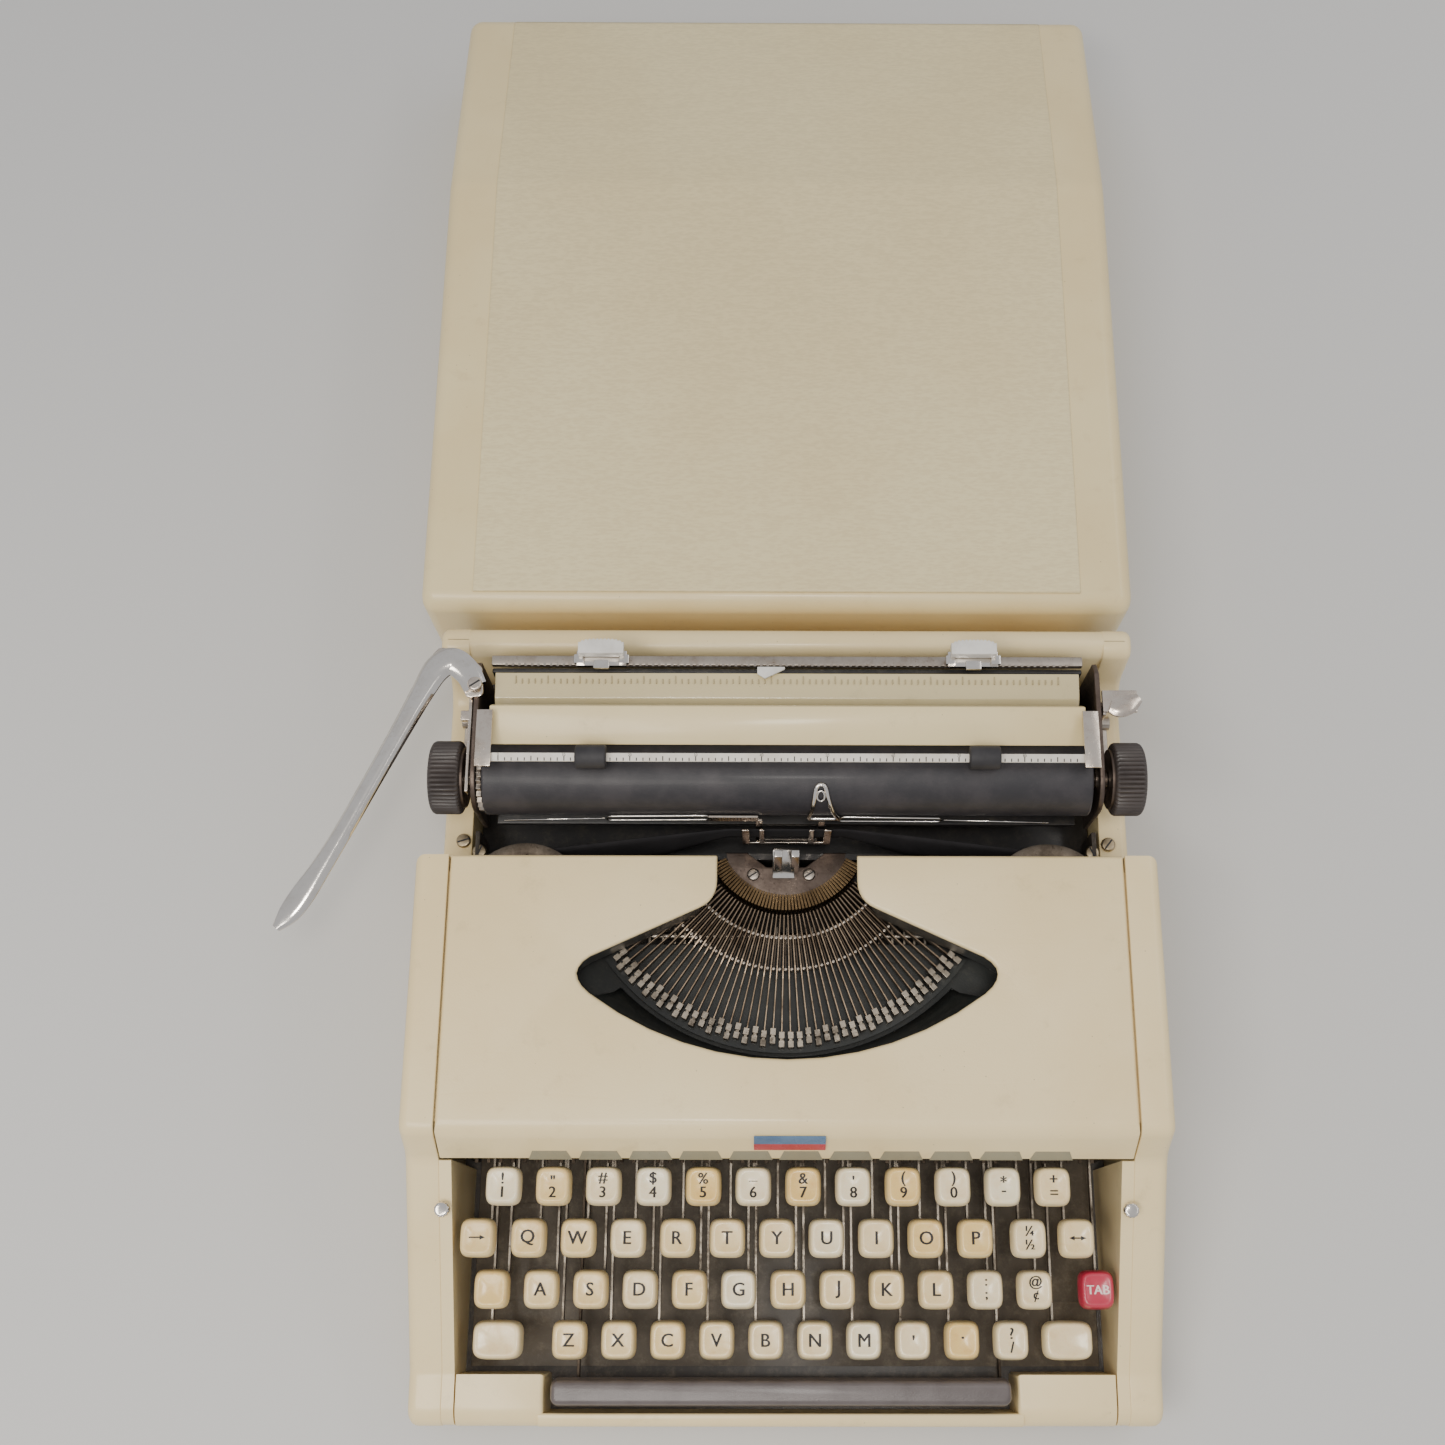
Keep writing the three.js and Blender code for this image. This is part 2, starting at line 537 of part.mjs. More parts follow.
// flat plate over the segment, notched for the type guide
const notchHalf = 8;
const plateBack = PRINT_Y - 10;
piece('segment_plate', push('Z', outline([
  ...arc(0, PRINT_Y, segmentOuter - 1, -146, -34, 12),
  [segmentOuter - 5, plateBack], [notchHalf + 8, plateBack], [notchHalf, plateBack - 6],
  [-notchHalf, plateBack - 6], [-notchHalf - 8, plateBack], [5 - segmentOuter, plateBack]]),
segmentTop + FIT, segmentTop + FIT + 1.8), CASTING);

// A typebar lying forward: a thin bar from its pivot, with the type slug across its far end.
function typebar(angle, start) {
  const half = TYPEBAR_THICKNESS / 2;
  const under = TYPEBAR_Z - TYPEBAR_HEIGHT / 2;
  const slugStart = SLUG_RADIUS - SLUG_LENGTH;
  const bar = box(-half, half, start, slugStart + 1, under, under + TYPEBAR_HEIGHT);
  const slug = box(-SLUG_WIDTH / 2, SLUG_WIDTH / 2, slugStart, SLUG_RADIUS, under + 0.5, under + SLUG_HEIGHT);
  return join(bar, slug).rotateZ(Math.PI + THREE.MathUtils.degToRad(angle)).translate(0, PRINT_Y, 0);
}

const barStep = FAN_ANGLE / (TYPEBAR_COUNT - 1);
const demoBar = TYPEBAR_COUNT / 2;
const barAngles = Array.from({ length: TYPEBAR_COUNT }, (_, i) => (i - (TYPEBAR_COUNT - 1) / 2) * barStep);
const pivotRing = push(
  'Z', ringSector(segmentOuter + FIT, ringOuter, 60, 22),
  TYPEBAR_Z - 6, TYPEBAR_Z - 1.5);
piece('typebar_fan', join(
  pivotRing,
  ...barAngles.filter((_, i) => i !== demoBar).map((angle) => typebar(angle, ringOuter - 1))), STEEL);
piece('letter_typebar', typebar(barAngles[demoBar], ringOuter + 1), STEEL);

const restTop = TYPEBAR_Z - 10;
piece('type_rest', push('Z', ringSector(80, 104, 50, 14), restTop - 4, restTop), BLACK_METAL);

// two prongs that a typebar passes between on its way up
piece('type_guide', join(
  ...[-1, 1].map((side) => box(...inOrder(side, 1.8, 5), PRINT_Y - 19, PRINT_Y - 16, 52, 80)),
  box(-5, 5, PRINT_Y - 19, PRINT_Y - 10.5, 50.6 + FIT, 53),
  box(-5, 5, PRINT_Y - 13, PRINT_Y - 10.5, 50.6 + FIT, 60)), CHROME);

// ---------------------------------------------------------------- ribbon

const cupRadius = SPOOL_RADIUS + 3;
const SPOOL_X = COVER_HALF_WIDTH - cupRadius - 0.4;
const woundRadius = SPOOL_RADIUS * WOUND_SHARE;

bothSides((side, sign) => {
  const x = sign * SPOOL_X;
  const cupFloor = SPOOL_BOTTOM - CUP_WALL - FIT * 3;
  const post = 2.5;
  const cup = new THREE.LatheGeometry([
    [0, cupFloor], [cupRadius, cupFloor], [cupRadius, RIBBON_BOTTOM - FIT], [cupRadius - CUP_WALL, RIBBON_BOTTOM - FIT],
    [cupRadius - CUP_WALL, cupFloor + CUP_WALL], [post, cupFloor + CUP_WALL],
    [post, SPOOL_BOTTOM + SPOOL_HEIGHT + 3], [0, SPOOL_BOTTOM + SPOOL_HEIGHT + 3],
  ].map(([r, z]) => new THREE.Vector2(r, z)), 24);
  piece(`spool_cup_${side}`, cup.rotateX(Math.PI / 2).translate(x, SPOOL_Y, 0), BLACK_METAL);

  const bore = post + FIT;
  const top = SPOOL_BOTTOM + SPOOL_HEIGHT;
  const spool = new THREE.LatheGeometry([
    [bore, SPOOL_BOTTOM], [SPOOL_RADIUS, SPOOL_BOTTOM], [SPOOL_RADIUS, SPOOL_BOTTOM + 0.7],
    [woundRadius, SPOOL_BOTTOM + 0.7], [woundRadius, top - 0.7], [SPOOL_RADIUS, top - 0.7],
    [SPOOL_RADIUS, top], [bore, top], [bore, SPOOL_BOTTOM],
  ].map(([r, z]) => new THREE.Vector2(r, z)), 20);
  piece(`ribbon_spool_${side}`, spool.rotateX(Math.PI / 2).translate(x, SPOOL_Y, 0), STEEL);
});

const ribbonBack = platenFront - 2.1;
const ribbonThickness = 0.4;
const spoolBack = SPOOL_Y + woundRadius + 1; // the ribbon leaves the wound roll here
const ribbonBend = 24; // half the straight stretch in front of the platen
piece('ribbon', push('Z', outline([
  [-SPOOL_X, spoolBack], [-ribbonBend, ribbonBack - ribbonThickness],
  [ribbonBend, ribbonBack - ribbonThickness], [SPOOL_X, spoolBack],
  [SPOOL_X, spoolBack + ribbonThickness], [ribbonBend, ribbonBack],
  [-ribbonBend, ribbonBack], [-SPOOL_X, spoolBack + ribbonThickness],
]), RIBBON_BOTTOM, RIBBON_BOTTOM + RIBBON_WIDTH), INKED_CLOTH);

const vibratorBack = ribbonBack - ribbonThickness - FIT;
const vibratorY = [vibratorBack - 0.8, vibratorBack];
piece('ribbon_vibrator', join(
  ...[-1, 1].map((side) => box(...inOrder(side, 15, 18), ...vibratorY, 56, RIBBON_BOTTOM + 15)),
  ...[-1, 1].map((side) => box(...inOrder(side, 9, 11), ...vibratorY, 56, RIBBON_BOTTOM + 15)),
  box(-18, 18, ...vibratorY, 56, 59)), STEEL);

// one bracket with two wings close to the platen; the right wing has a see-through eye
const holderY = [platenFront - 1.1, platenFront - 0.4];
const eye = outline([[-12, 84], [-12, 90], [-17, 103], [-20, 103], [-26, 90], [-26, 84]]);
eye.holes.push(circle(-18.5, 94, 2.4, 10));
piece('card_holder', join(
  box(-72, -28, ...holderY, 87.5, 92),
  box(-28.5, -9, ...holderY, 86, 95),
  box(-12, -9, ...holderY, 54, 87),
  push('Y', eye, ...holderY),
  box(25, 70, ...holderY, 85.5, 87.5),
  box(12, 15, ...holderY, 54, 85),
  box(-12, 15, ...holderY, 50.6 + FIT, 55)), CLEAR_PLASTIC);

// ---------------------------------------------------------------- carriage

const platenHalf = PLATEN_LENGTH / 2;
const ratchetInner = platenHalf + FIT;
const endPlateInner = ratchetInner + RATCHET_WIDTH + FIT;
const endPlateOuter = endPlateInner + END_PLATE_THICKNESS;
const knobInner = endPlateOuter + KNOB_STANDOFF;

// fixed rails under the carriage, tied together and to the body sides
const railHalf = REAR_HALF_WIDTH - BODY_WALL - FIT - 4;
piece('carriage_rails', join(
  rod('X', RAIL_RADIUS, -railHalf, railHalf, [RAIL_FRONT_Y, RAIL_Z], 12),
  rod('X', RAIL_RADIUS, -railHalf, railHalf, [RAIL_REAR_Y, RAIL_Z], 12),
  ...[-1, 1].map((side) => box(
    ...inOrder(side, railHalf - 8, railHalf - 1), RAIL_FRONT_Y - 2, RAIL_REAR_Y + 2,
    RAIL_HEIGHT + FIT, RAIL_Z))), STEEL);

piece('carriage_frame', push('X', outline([
  [FRAME_FRONT, FRAME_FLOOR], [FRAME_BACK, FRAME_FLOOR], [FRAME_BACK, FRAME_TOP],
  [FRAME_BACK - 2, FRAME_TOP], [FRAME_BACK - 2, FRAME_FLOOR + FRAME_THICKNESS],
  [FRAME_FRONT, FRAME_FLOOR + FRAME_THICKNESS]]), 1 - platenHalf, platenHalf - 1), BLACK_METAL);

const platenShaftEnd = knobInner - FIT;
piece('platen', join(
  rod('X', PLATEN_RADIUS, -platenHalf, platenHalf, [PLATEN_Y, PLATEN_Z], 40),
  rod('X', PLATEN_SHAFT_RADIUS, -platenShaftEnd, platenShaftEnd, [PLATEN_Y, PLATEN_Z], 12)), RUBBER);

const gear = outline(Array.from({ length: RATCHET_TEETH * 2 }, (_, i) => {
  const radius = PLATEN_RADIUS - (i % 2 ? 2.6 : 1.2);
  const angle = i * Math.PI / RATCHET_TEETH;
  return [PLATEN_Y + radius * Math.cos(angle), PLATEN_Z + radius * Math.sin(angle)];
}));
gear.holes.push(circle(PLATEN_Y, PLATEN_Z, PLATEN_SHAFT_RADIUS + FIT));
piece('ratchet_wheel', push('X', gear, -ratchetInner - RATCHET_WIDTH, -ratchetInner), STEEL);

bothSides((side, sign) => {
  const [x0, x1] = inOrder(sign, knobInner, knobInner + KNOB_LENGTH);
  piece(`knob_${side}`, rod('X', KNOB_RADIUS, x0, x1, [PLATEN_Y, PLATEN_Z], 32), KNOB_PLASTIC);

  const plate = outline([
    [PLATEN_Y - 13, FRAME_FLOOR], [FRAME_BACK + 1, FRAME_FLOOR], [FRAME_BACK + 1, END_PLATE_TOP - 4],
    [FRAME_BACK - 4, END_PLATE_TOP], [PLATEN_Y + 6, END_PLATE_TOP],
    ...arc(PLATEN_Y, PLATEN_Z, 13.5, 90, 180, 6)]);
  plate.holes.push(circle(PLATEN_Y, PLATEN_Z, PLATEN_SHAFT_RADIUS + FIT));
  plate.holes.push(circle(BAIL_PIVOT_Y, BAIL_PIVOT_Z, SHAFT_RADIUS + FIT, 8));
  piece(`end_plate_${side}`, push('X', plate, ...inOrder(sign, endPlateInner, endPlateOuter)), CASTING);
});

// A sheet of even thickness along a bent line seen from the side.
function bentSheet(line) {
  const across = (i) => {
    const [a, b] = [line[Math.max(i - 1, 0)], line[Math.min(i + 1, line.length - 1)]];
    const length = Math.hypot(b[0] - a[0], b[1] - a[1]);
    return [(b[1] - a[1]) / length * SHEET, (a[0] - b[0]) / length * SHEET];
  };
  const other = line.map(([y, z], i) => [y + across(i)[0], z + across(i)[1]]);
  return push('X', outline([...line, ...other.reverse()]), -SHEET_HALF_WIDTH, SHEET_HALF_WIDTH);
}
const platenBack = PLATEN_Y + PLATEN_RADIUS;
const platenTop = PLATEN_Z + PLATEN_RADIUS;
piece('paper_table', bentSheet([
  [platenBack + 2.7, 74], [platenBack + 3.3, 80], [platenBack + 6, 88], [platenBack + 10.5, 95],
  [platenBack + 16.5, 99.5], [FRAME_BACK - 3, 101]]), SHEET_CREAM);
piece('paper_deflector', bentSheet([
  [PLATEN_Y + 9.5, platenTop - 0.3], [PLATEN_Y + 17, platenTop + 3.1],
  [PLATEN_Y + 24, platenTop + 4.1], [PLATEN_Y + 26, platenTop - 0.5]]), CREAM);

// ---------------------------------------------------------------- paper bail

const bailArmInner = SHEET_HALF_WIDTH + 1.5;
const bailArm = outline([
  [BAIL_PIVOT_Y - 3, BAIL_PIVOT_Z - 3], [BAIL_PIVOT_Y + 3, BAIL_PIVOT_Z - 3],
  [BAIL_PIVOT_Y + 3, BAIL_PIVOT_Z + 3], [BAIL_PIVOT_Y, BAIL_Z + 1], [BAIL_Y - 2, BAIL_Z + 1],
  [BAIL_Y - 2, BAIL_Z - 1.6], [BAIL_PIVOT_Y - 5.5, BAIL_Z - 1.6], [BAIL_PIVOT_Y - 3, BAIL_PIVOT_Z + 3]]);
piece('paper_bail', join(
  ...[-1, 1].map((side) => push('X', bailArm, ...inOrder(side, bailArmInner, bailArmInner + 0.8))),
  ...[-1, 1].map((side) => rod(
    'X', SHAFT_RADIUS, ...inOrder(side, bailArmInner + 0.4, endPlateOuter), [BAIL_PIVOT_Y, BAIL_PIVOT_Z], 8)),
  box(-bailArmInner - 0.4, bailArmInner + 0.4, BAIL_Y - 1.8, BAIL_Y + 1.8, BAIL_Z - 0.6, BAIL_Z + 0.6)),
CHROME);
bothSides((side, sign) => {
  const middle = sign * BAIL_ROLLER_X;
  const half = BAIL_ROLLER_LENGTH / 2;
  const ring = circle(BAIL_Y, BAIL_Z, BAIL_ROLLER_RADIUS, 14);
  ring.holes.push(circle(BAIL_Y, BAIL_Z, 2.3, 8));
  piece(`bail_roller_${side}`, push('X', ring, middle - half, middle + half), RUBBER);
});

// ---------------------------------------------------------------- margin rack and stops

const rackY = [FRAME_BACK + FIT, FRAME_BACK + FIT + 4];
const rackZ = [FRAME_TOP, FRAME_TOP + 3];
piece('margin_rack', box(1 - platenHalf, platenHalf - 1, ...rackY, ...rackZ), STEEL);
bothSides((side, sign) => {
  const [x0, x1] = inOrder(sign, STOP_X - STOP_WIDTH / 2, STOP_X + STOP_WIDTH / 2);
  const above = rackZ[1] + FIT;
  piece(`margin_stop_${side}`, join(
    box(x0, x1, rackY[0] - 1, rackY[1] + 1.3, above, above + 2),
    box(x0 + 2, x1 - 2, rackY[1] + FIT, rackY[1] + 1.3, rackZ[0], above + 1),
    box(x0 + 2, x1 - 2, rackY[0] + 1, rackY[1] + 5, above + 1, above + 7)), CHROME);
});

const supportZ = FRAME_TOP + 4.2;
piece('paper_support', push('Z', outline([
  [-12, FRAME_BACK - 1], [-12, FRAME_BACK - 4], [-9, FRAME_BACK - 6], [-1, FRAME_BACK - 2],
  [-1, FRAME_BACK - 1]]), supportZ, supportZ + SHEET), CLEAR_PLASTIC);

// ---------------------------------------------------------------- carriage levers

const returnPivot = [-endPlateOuter + 0.9, PLATEN_Y + 33];
const leverBottom = 107.3;
const leverFromPivot = [
  ...arc(0, 0, 5, -60, 60, 6), [-1.4, 10], [-5.4, 14], [-13.4, 16], [-18.4, 12], [-55.4, -69],
  [-67.4, -88], [-70.9, -97], [-66.4, -94], [-58.4, -82], [-49.4, -69], [-7.4, 1]];
piece('return_lever', push(
  'Z', outline(leverFromPivot.map(([x, y]) => [returnPivot[0] + x, returnPivot[1] + y])),
  leverBottom, leverBottom + 3), CHROME);

const selectorX = [-endPlateOuter - 1.9, -endPlateOuter - 0.5];
piece('line_space_selector', join(
  box(...selectorX, PLATEN_Y - 9, PLATEN_Y + 35, 99.8, 104.6),
  box(selectorX[0] - 3, selectorX[0] + 1, PLATEN_Y + 20, PLATEN_Y + 24, 101, 104.6)), CHROME);

const releaseX = [endPlateOuter + 0.7, endPlateOuter + 2.2];
piece('carriage_release_lever', join(
  box(...releaseX, PLATEN_Y + 23, PLATEN_Y + 29, 88, 104),
  box(releaseX[0], releaseX[0] + 13.8, PLATEN_Y + 24, PLATEN_Y + 33, 103, 105)), CHROME);

// spring drum that pulls the carriage along
const drum = circle(32 - WELL_HALF_WIDTH, PLATEN_Y + 20, 15, 20);
piece('mainspring_drum', push('Z', drum, 34, 46), STEEL);

// ---------------------------------------------------------------- lid

function lidProfile(inset) {
  const near = BODY_DEPTH + LID_GAP;
  const fold = near + LID_FLAT;
  const far = fold + LID_SLOPE;
  const floor = inset > 0 ? -1 : 0;
  const shape = new THREE.Shape();
  shape.moveTo(near + inset, floor);
  shape.lineTo(near + inset, LID_HEIGHT - 7);
  shape.quadraticCurveTo(near + inset, LID_HEIGHT - inset, near + 7, LID_HEIGHT - inset);
  shape.lineTo(fold, LID_HEIGHT - inset);
  shape.lineTo(far - 5, LID_LOW_HEIGHT + 1 - inset);
  shape.quadraticCurveTo(far - inset, LID_LOW_HEIGHT - inset, far - inset, LID_LOW_HEIGHT - 5 - inset);
  shape.lineTo(far - inset, floor);
  return shape;
}

function lid() {
  const shell = cut(
    push('X', lidProfile(0), -LID_HALF_WIDTH, LID_HALF_WIDTH),
    push('X', lidProfile(LID_WALL), LID_WALL - LID_HALF_WIDTH, LID_HALF_WIDTH - LID_WALL));
  const near = BODY_DEPTH + LID_GAP;
  const fold = near + LID_FLAT;
  const panel = push('X', outline([
    [near + 7, LID_HEIGHT - 1], [near + 7.5, LID_HEIGHT + LID_PANEL_RISE],
    [fold, LID_HEIGHT + LID_PANEL_RISE], [fold + LID_SLOPE - 5, LID_LOW_HEIGHT + 1 + LID_PANEL_RISE],
    [fold + LID_SLOPE - 5, LID_LOW_HEIGHT], [fold, LID_HEIGHT - 1]]),
  -LID_PANEL_HALF_WIDTH, LID_PANEL_HALF_WIDTH);
  return join(shell, panel).translate(LID_X, 0, 0);
}
piece('lid', lid(), LID_CREAM);

// ---------------------------------------------------------------- origin

// the middle of the footprint, on the table
const extent = new THREE.Box3().setFromObject(typewriter);
const middle = extent.getCenter(new THREE.Vector3());
typewriter.position.set(-middle.x, -middle.y, -extent.min.z);

export default typewriter;
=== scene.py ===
# %% [markdown]
# # A portable typewriter and its carrying lid
# The machine is a cream painted shell round a keyboard, a basket of typebars and a sliding
# carriage. Its lid lies on the table behind it. The solid parts were drawn in CAD and come in
# as a fixed frame. This lesson gives them their visible shapes and finishes.
#
# The frame comes first, because every later size is read from it.

# %% The frame
import math

import bmesh
import bpy
import numpy as np
from mathutils import Matrix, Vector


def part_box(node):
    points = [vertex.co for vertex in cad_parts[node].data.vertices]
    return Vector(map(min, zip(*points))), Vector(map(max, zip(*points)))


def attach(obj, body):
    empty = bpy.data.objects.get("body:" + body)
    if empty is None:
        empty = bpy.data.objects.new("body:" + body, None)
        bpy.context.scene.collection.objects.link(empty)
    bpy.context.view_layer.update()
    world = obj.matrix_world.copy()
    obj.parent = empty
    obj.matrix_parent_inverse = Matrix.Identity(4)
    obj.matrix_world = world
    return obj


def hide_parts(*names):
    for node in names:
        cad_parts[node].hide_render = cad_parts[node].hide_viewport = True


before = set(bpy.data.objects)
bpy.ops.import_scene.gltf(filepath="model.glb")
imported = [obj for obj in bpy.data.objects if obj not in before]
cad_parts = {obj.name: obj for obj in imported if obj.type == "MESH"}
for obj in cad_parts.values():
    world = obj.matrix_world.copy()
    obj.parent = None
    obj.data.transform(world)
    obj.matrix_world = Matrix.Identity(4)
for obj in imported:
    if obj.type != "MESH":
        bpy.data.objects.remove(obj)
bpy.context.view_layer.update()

# %% [markdown]
# A maker measures a machine from its own front edge and its middle line, in millimetres. The
# frame is in metres from the middle of the whole footprint. One short function takes points
# from the first way of measuring to the second, so the numbers below stay easy to check
# against a ruler.

# %% Millimetres on the machine to metres in the frame
shell_low, shell_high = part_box("body_shell")
MIDDLE_X = (shell_low.x + shell_high.x) / 2
FRONT_Y = shell_low.y


def placed(points):
    """Points in millimetres from the machine's middle line, front edge and table, as metres."""
    return np.asarray(points, float) / 1000 + np.array([MIDDLE_X, FRONT_Y, 0.0])


def machine_box(node):
    """A CAD node's lowest and highest corners, in millimetres on the machine."""
    low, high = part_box(node)
    return [(np.array(corner) - [MIDDLE_X, FRONT_Y, 0.0]) * 1000 for corner in (low, high)]


print("middle line at", round(MIDDLE_X, 5), "front edge at", round(FRONT_Y, 5))

# %% [markdown]
# ## Camera, floor and light
# The machine is seen from above by a person standing at the keyboard, nearly straight down.
# The camera could be aimed with a constraint, but a matrix written from its own three
# directions can't drift, so that is used. Two large soft lights and a pale world keep the
# cream paint even, and a small hard one gives chrome its spark.

# %% Camera
camera_data = bpy.data.cameras.new("camera")
camera_data.lens = 43.465
camera_data.sensor_width = 36.0
camera_data.shift_x = -0.0350
camera_data.shift_y = -0.0167
camera_data.clip_start = 0.05
camera = bpy.data.objects.new("camera", camera_data)
bpy.context.scene.collection.objects.link(camera)
right = np.array([0.99998578, 0.00121973, 0.00519171])
up = np.array([-0.00280461, 0.94828306, 0.31741356])
back = np.array([-0.00453606, -0.3174236, 0.948273])
eye = placed([-8.83, 52.83, 757.12])
camera.matrix_world = Matrix([[*row, where] for row,
                              where in zip(np.stack([right, up, back], 1), eye)]
                             + [[0, 0, 0, 1]])
bpy.context.scene.camera = camera
print("camera at", eye.round(3))


# %% Meshes from arrays
def make_piece(name, points, faces, finish, body, slot=None, smooth=True):
    """One mesh object from points in millimetres and lists of corner numbers."""
    mesh = bpy.data.meshes.new(name)
    mesh.from_pydata(placed(points).tolist(), [], [list(map(int, face)) for face in faces])
    mesh.polygons.foreach_set("use_smooth", np.full(len(mesh.polygons), smooth))
    mesh.materials.append(finish)
    mesh.validate()
    mesh.update()
    thing = bpy.data.objects.new(name, mesh)
    bpy.context.scene.collection.objects.link(thing)
    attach(thing, body)
    return thing


# %% [markdown]
# The floor is a wide pale sheet that isn't part of the machine.

# %% Floor and lights
floor_mesh = bpy.data.meshes.new("floor")
floor_mesh.from_pydata([(-4, -4, 0), (4, -4, 0), (4, 4, 0), (-4, 4, 0)], [], [(0, 1, 2, 3)])
floor_paint = bpy.data.materials.new("pale_floor")
floor_paint.use_nodes = True
floor_paint.node_tree.nodes["Principled BSDF"].inputs["Base Color"].default_value = (0.62, 0.61,
                                                                                     0.59, 1)
floor_paint.node_tree.nodes["Principled BSDF"].inputs["Roughness"].default_value = 0.9
floor_mesh.materials.append(floor_paint)
floor = bpy.data.objects.new("floor", floor_mesh)
bpy.context.scene.collection.objects.link(floor)


def soft_light(name, place, aim, width, power, tint):
    """A square lamp at one point that faces another, both in metres."""
    lamp = bpy.data.lights.new(name, "AREA")
    lamp.size = width
    lamp.energy = power
    lamp.color = tint
    holder = bpy.data.objects.new(name, lamp)
    holder.location = place
    toward = np.array(aim, float) - np.array(place, float)
    holder.rotation_euler = (
        math.acos(-toward[2] / np.linalg.norm(toward)), 0, math.atan2(toward[0], -toward[1]))
    bpy.context.scene.collection.objects.link(holder)


soft_light("key_light", (-0.55, -0.75, 1.5), (0, 0, 0), 0.9, 25, (1.0, 0.955, 0.88))
soft_light("fill_light", (1.1, 0.3, 1.4), (0, 0.05, 0), 1.2, 13.5, (1.0, 0.97, 0.93))
soft_light("spark_light", (0.05, -0.32, 1.25), (0, -0.05, 0.08), 0.16, 3.2, (1.0, 0.96, 0.9))
world = bpy.data.worlds.new("studio")
world.use_nodes = True
world.node_tree.nodes["Background"].inputs["Color"].default_value = (0.93, 0.95, 1.0, 1)
world.node_tree.nodes["Background"].inputs["Strength"].default_value = 0.66
bpy.context.scene.world = world

# %% [markdown]
# ## Finishes
# Every surface of the machine has its own finish: sprayed paint, moulded ivory plastic, rubber,
# steel, chrome. Blender builds a finish as a network of nodes. Written out node by node, a
# network is long and hard to read, so a value that comes out of a node is wrapped in a small
# class, and plus, minus and times then add the Math nodes.

# %% Values that do arithmetic
class Value:
    """One output socket of a finish. Arithmetic on it adds Math nodes."""

    def __init__(self, tree, socket):
        self.tree, self.socket = tree, socket

    def math(self, operation, first, second=0.0, clamp=False):
        node = self.tree.nodes.new("ShaderNodeMath")
        node.operation, node.use_clamp = operation, clamp
        for slot, item in zip(node.inputs, (first, second)):
            connect(self.tree, slot, item)
        return Value(self.tree, node.outputs[0])

    def __add__(self, other):
        return self.math("ADD", self, other)

    __radd__ = __add__

    def __mul__(self, other):
        return self.math("MULTIPLY", self, other)

    __rmul__ = __mul__

    def __sub__(self, other):
        return self.math("SUBTRACT", self, other)

    def __rsub__(self, other):
        return self.math("SUBTRACT", other, self)

    def __gt__(self, other):
        return self.math("GREATER_THAN", self, other)

    def __lt__(self, other):
        return self.math("LESS_THAN", self, other)

    def size(self):
        return self.math("ABSOLUTE", self)

    def within(self):
        return self.math("ADD", self, 0.0, clamp=True)


def connect(tree, slot, item):
    """Links a value to a socket, or sets the socket to a plain number or colour."""
    if isinstance(item, Value):
        tree.links.new(item.socket, slot)
    else:
        slot.default_value = item


def tint(red, green, blue):
    """A colour given as 0 to 255 on a screen, in the linear numbers that shaders use."""
    shares = np.array([red, green, blue]) / 255
    linear = np.where(shares < 0.04045, shares / 12.92, ((shares + 0.055) / 1.055) ** 2.4)
    return (*linear.tolist(), 1.0)


# %% [markdown]
# A finish object holds one material. Its `add` method makes any node: settings first, then the
# values or links of its sockets. The methods after it are the few textures that nearly every
# finish needs. They all read Object coordinates, in metres, so a scale of 1000 is one wave to
# the millimetre, and the pattern rides on the piece.

